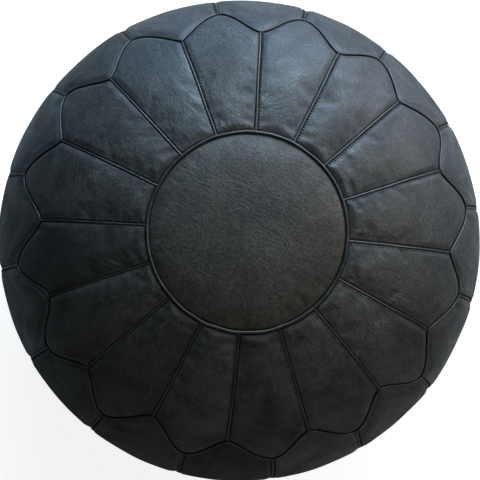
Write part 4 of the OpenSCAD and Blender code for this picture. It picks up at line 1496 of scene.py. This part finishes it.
def lining_bag(material):
    """The cotton bag, gathered in soft gores, open along the zip."""
    wide, deep, floor_rows = 272, 118, 34
    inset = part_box("lining")[0].z + 0.0016
    turns = np.arange(wide) / wide * LINES
    line, t = np.meshgrid(turns, np.linspace(0.004, 1, deep))
    s = t * S_FOOT
    angle = line * HALF_STEP
    gores = np.sin(angle * 40 + 3 * flat_noise(angle * 3, s / 0.05, 81))
    slack = 0.0009 * (0.5 + 0.5 * gores) * smooth(t * 3)
    slack = slack + 0.0008 * smooth(0.5 + flat_noise(angle * 9, s / 0.02, 82))
    wall = place(angle, s, -inset - slack)
    foot = wall[-1]
    reach = np.hypot(foot[:, 0], foot[:, 1])
    heading = np.arctan2(foot[:, 1], foot[:, 0])
    inner = to_rectangle(heading)
    rows = []
    for u in np.linspace(0, 1, floor_rows)[1:]:
        r = reach + u * (inner - reach)
        lift = 0.0005 * smooth(0.5 + flat_noise(heading * 8, r / 0.02, 83)) * math.sin(math.pi * u)
        rows.append(np.stack([r * np.cos(heading), r * np.sin(heading), foot[:, 2] + lift + 0.0001], -1))
    points = np.concatenate([wall, np.array(rows)], 0).reshape(-1, 3)
    middle = points[:wide].mean(0)
    points = np.concatenate([[middle], points])
    points[:, 2] = np.maximum(points[:, 2], inset)
    faces = [(0, 1 + c, 1 + (c + 1) % wide) for c in range(wide)]
    faces += [tuple(i + 1 for i in f) for f in grid_faces(deep + floor_rows - 1, wide, closed=True)]
    piece = make_piece("lining_bag", points, faces, material)
    thicken(piece, 0.0007)
    return piece


def stuffing_block(material):
    """Packed flock: the bag's shape, in soft tufts, raised over the zip's channel."""
    wide, deep, floor_rows = 300, 150, 60
    low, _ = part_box("stuffing")
    inset = low.z + 0.0018
    channel_top = 0.0108
    turns = np.arange(wide) / wide * LINES
    line, t = np.meshgrid(turns, np.linspace(0.004, 1, deep))
    s = t * S_FOOT
    angle = line * HALF_STEP
    r, z, _, _ = outline(s)
    at = np.stack([r * np.cos(angle), r * np.sin(angle), z], -1)
    tufts = 0.0030 * smooth(0.5 + noise(at / 0.022, 91)) + 0.0014 * smooth(0.5 + noise(at / 0.009, 92))
    wall = place(angle, s, -inset - tufts)
    foot = wall[-1]
    reach = np.hypot(foot[:, 0], foot[:, 1])
    heading = np.arctan2(foot[:, 1], foot[:, 0])
    rows = []
    for u in np.linspace(1, 0, floor_rows + 1)[1:-1]:
        rr = reach * u
        xy = np.stack([rr * np.cos(heading), rr * np.sin(heading), 0 * rr], -1)
        rough = 0.0010 * smooth(0.5 + noise(xy / 0.010, 93))
        over = np.maximum(np.abs(xy[:, 0]) - CHANNEL_X, np.abs(xy[:, 1]) - CHANNEL_Y)
        level = inset + (channel_top - inset) * (1 - smooth(over / 0.006))
        xy[:, 2] = np.maximum(level, inset) + rough
        rows.append(xy)
    points = np.concatenate([wall, np.array(rows)], 0).reshape(-1, 3)
    points[:, 2] = np.maximum(points[:, 2], inset)
    count = len(points)
    points = np.concatenate([[points[:wide].mean(0)], points, [[0.0, 0.0, channel_top + 0.0005]]])
    rows_in_all = deep + floor_rows - 1
    faces = [(0, 1 + c, 1 + (c + 1) % wide) for c in range(wide)]
    faces += [tuple(i + 1 for i in f) for f in grid_faces(rows_in_all, wide, closed=True)]
    last = 1 + (rows_in_all - 1) * wide
    faces += [(count + 1, last + (c + 1) % wide, last + c) for c in range(wide)]
    return make_piece("stuffing_block", points, faces, material)


# ---------------------------------------------------------------------------------------------
# Putting it together
# ---------------------------------------------------------------------------------------------
make_camera()
make_stage()

# the second colour is pale and bluish: partly the leather's own bloom, partly painted sheen
black_leather = leather_material("black_leather", (0.062, 0.068, 0.080, 1))
disc_leather = leather_material("disc_leather", (0.092, 0.080, 0.066, 1))
piping_leather = piping_material()
black_thread = thread_material("black_thread", (0.003, 0.003, 0.003, 1), (0.012, 0.012, 0.013, 1))
tape_cloth = woven_material("tape_cloth", (0.008, 0.008, 0.009, 1), (0.034, 0.034, 0.037, 1), 4200.0,
                            0.00012)
calico = woven_material("calico", (0.42, 0.38, 0.28, 1), (0.66, 0.62, 0.51, 1), 5200.0, 0.0001)
flock = flock_material()
nylon = nylon_material()
brass = brass_material()

piping_nodes = piping_tree()
stitch_nodes = stitch_tree()
coil_nodes = coil_tree()


def settle_in(piece, body, slot, *nodes):
    """Says what a finished piece rides on and which nodes it stands for; slot, its finish, is not used."""
    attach(piece, body)
    if nodes:
        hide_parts(*nodes)


disc = top_disc(disc_leather)
disc.name = "top_disc_leather"
settle_in(disc, "pouf", "leather", "top_disc")
panels = {petal: [], side_panel: []}
for number in range(1, PANELS + 1):
    for maker, node in ((petal, "petal_%02d" % number), (side_panel, "side_panel_%02d" % number)):
        panel = maker(number, black_leather)
        panel.name = node + "_leather"
        settle_in(panel, "pouf", "leather", node)
        panels[maker].append(panel)
for node, piece in make_pipings(piping_nodes, piping_leather).items():
    piece.name = node + "_leather"
    settle_in(piece, "pouf", "piping", node)
for piece in make_stitches(stitch_nodes, black_thread, panels[petal], panels[side_panel]).values():
    settle_in(piece, "pouf", "piping")

for side, word in ((1, "left"), (-1, "right")):
    half = base_sheet("base_half_%s_leather" % word, side, black_leather)
    settle_in(half, "pouf", "leather", "base_half_" + word)
    tape = zip_tape("zip_tape_%s_woven" % word, side, tape_cloth)
    settle_in(tape, "pouf", "zip_tape", "zip_tape_" + word)
    coil = zip_coil("zip_coil_" + word, side, coil_nodes, nylon)
    coil.name = "zip_coil_%s_wound" % word
    settle_in(coil, "pouf", "zip_coil", "zip_coil_" + word)
    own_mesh(coil)
for side, word in ((1, "top"), (-1, "bottom")):
    tab = end_tab("zip_end_tab_%s_leather" % word, side, black_leather)
    settle_in(tab, "pouf", "leather", "zip_end_tab_" + word)
settle_in(base_stitches(stitch_nodes, black_thread), "pouf", "piping")

for node, body, easing in (("zip_top_stops", "pouf", 0.0003), ("zip_bottom_stop", "pouf", 0.0003),
                           ("zip_slider", "zip_slider", 0.00022), ("zip_pull", "zip_pull", 0.00022)):
    settle_in(softened(node, easing, brass), body, "zip_metal", node)

bag = lining_bag(calico)
settle_in(bag, "pouf", "lining", "lining")
block = stuffing_block(flock)
settle_in(block, "pouf", "stuffing", "stuffing")
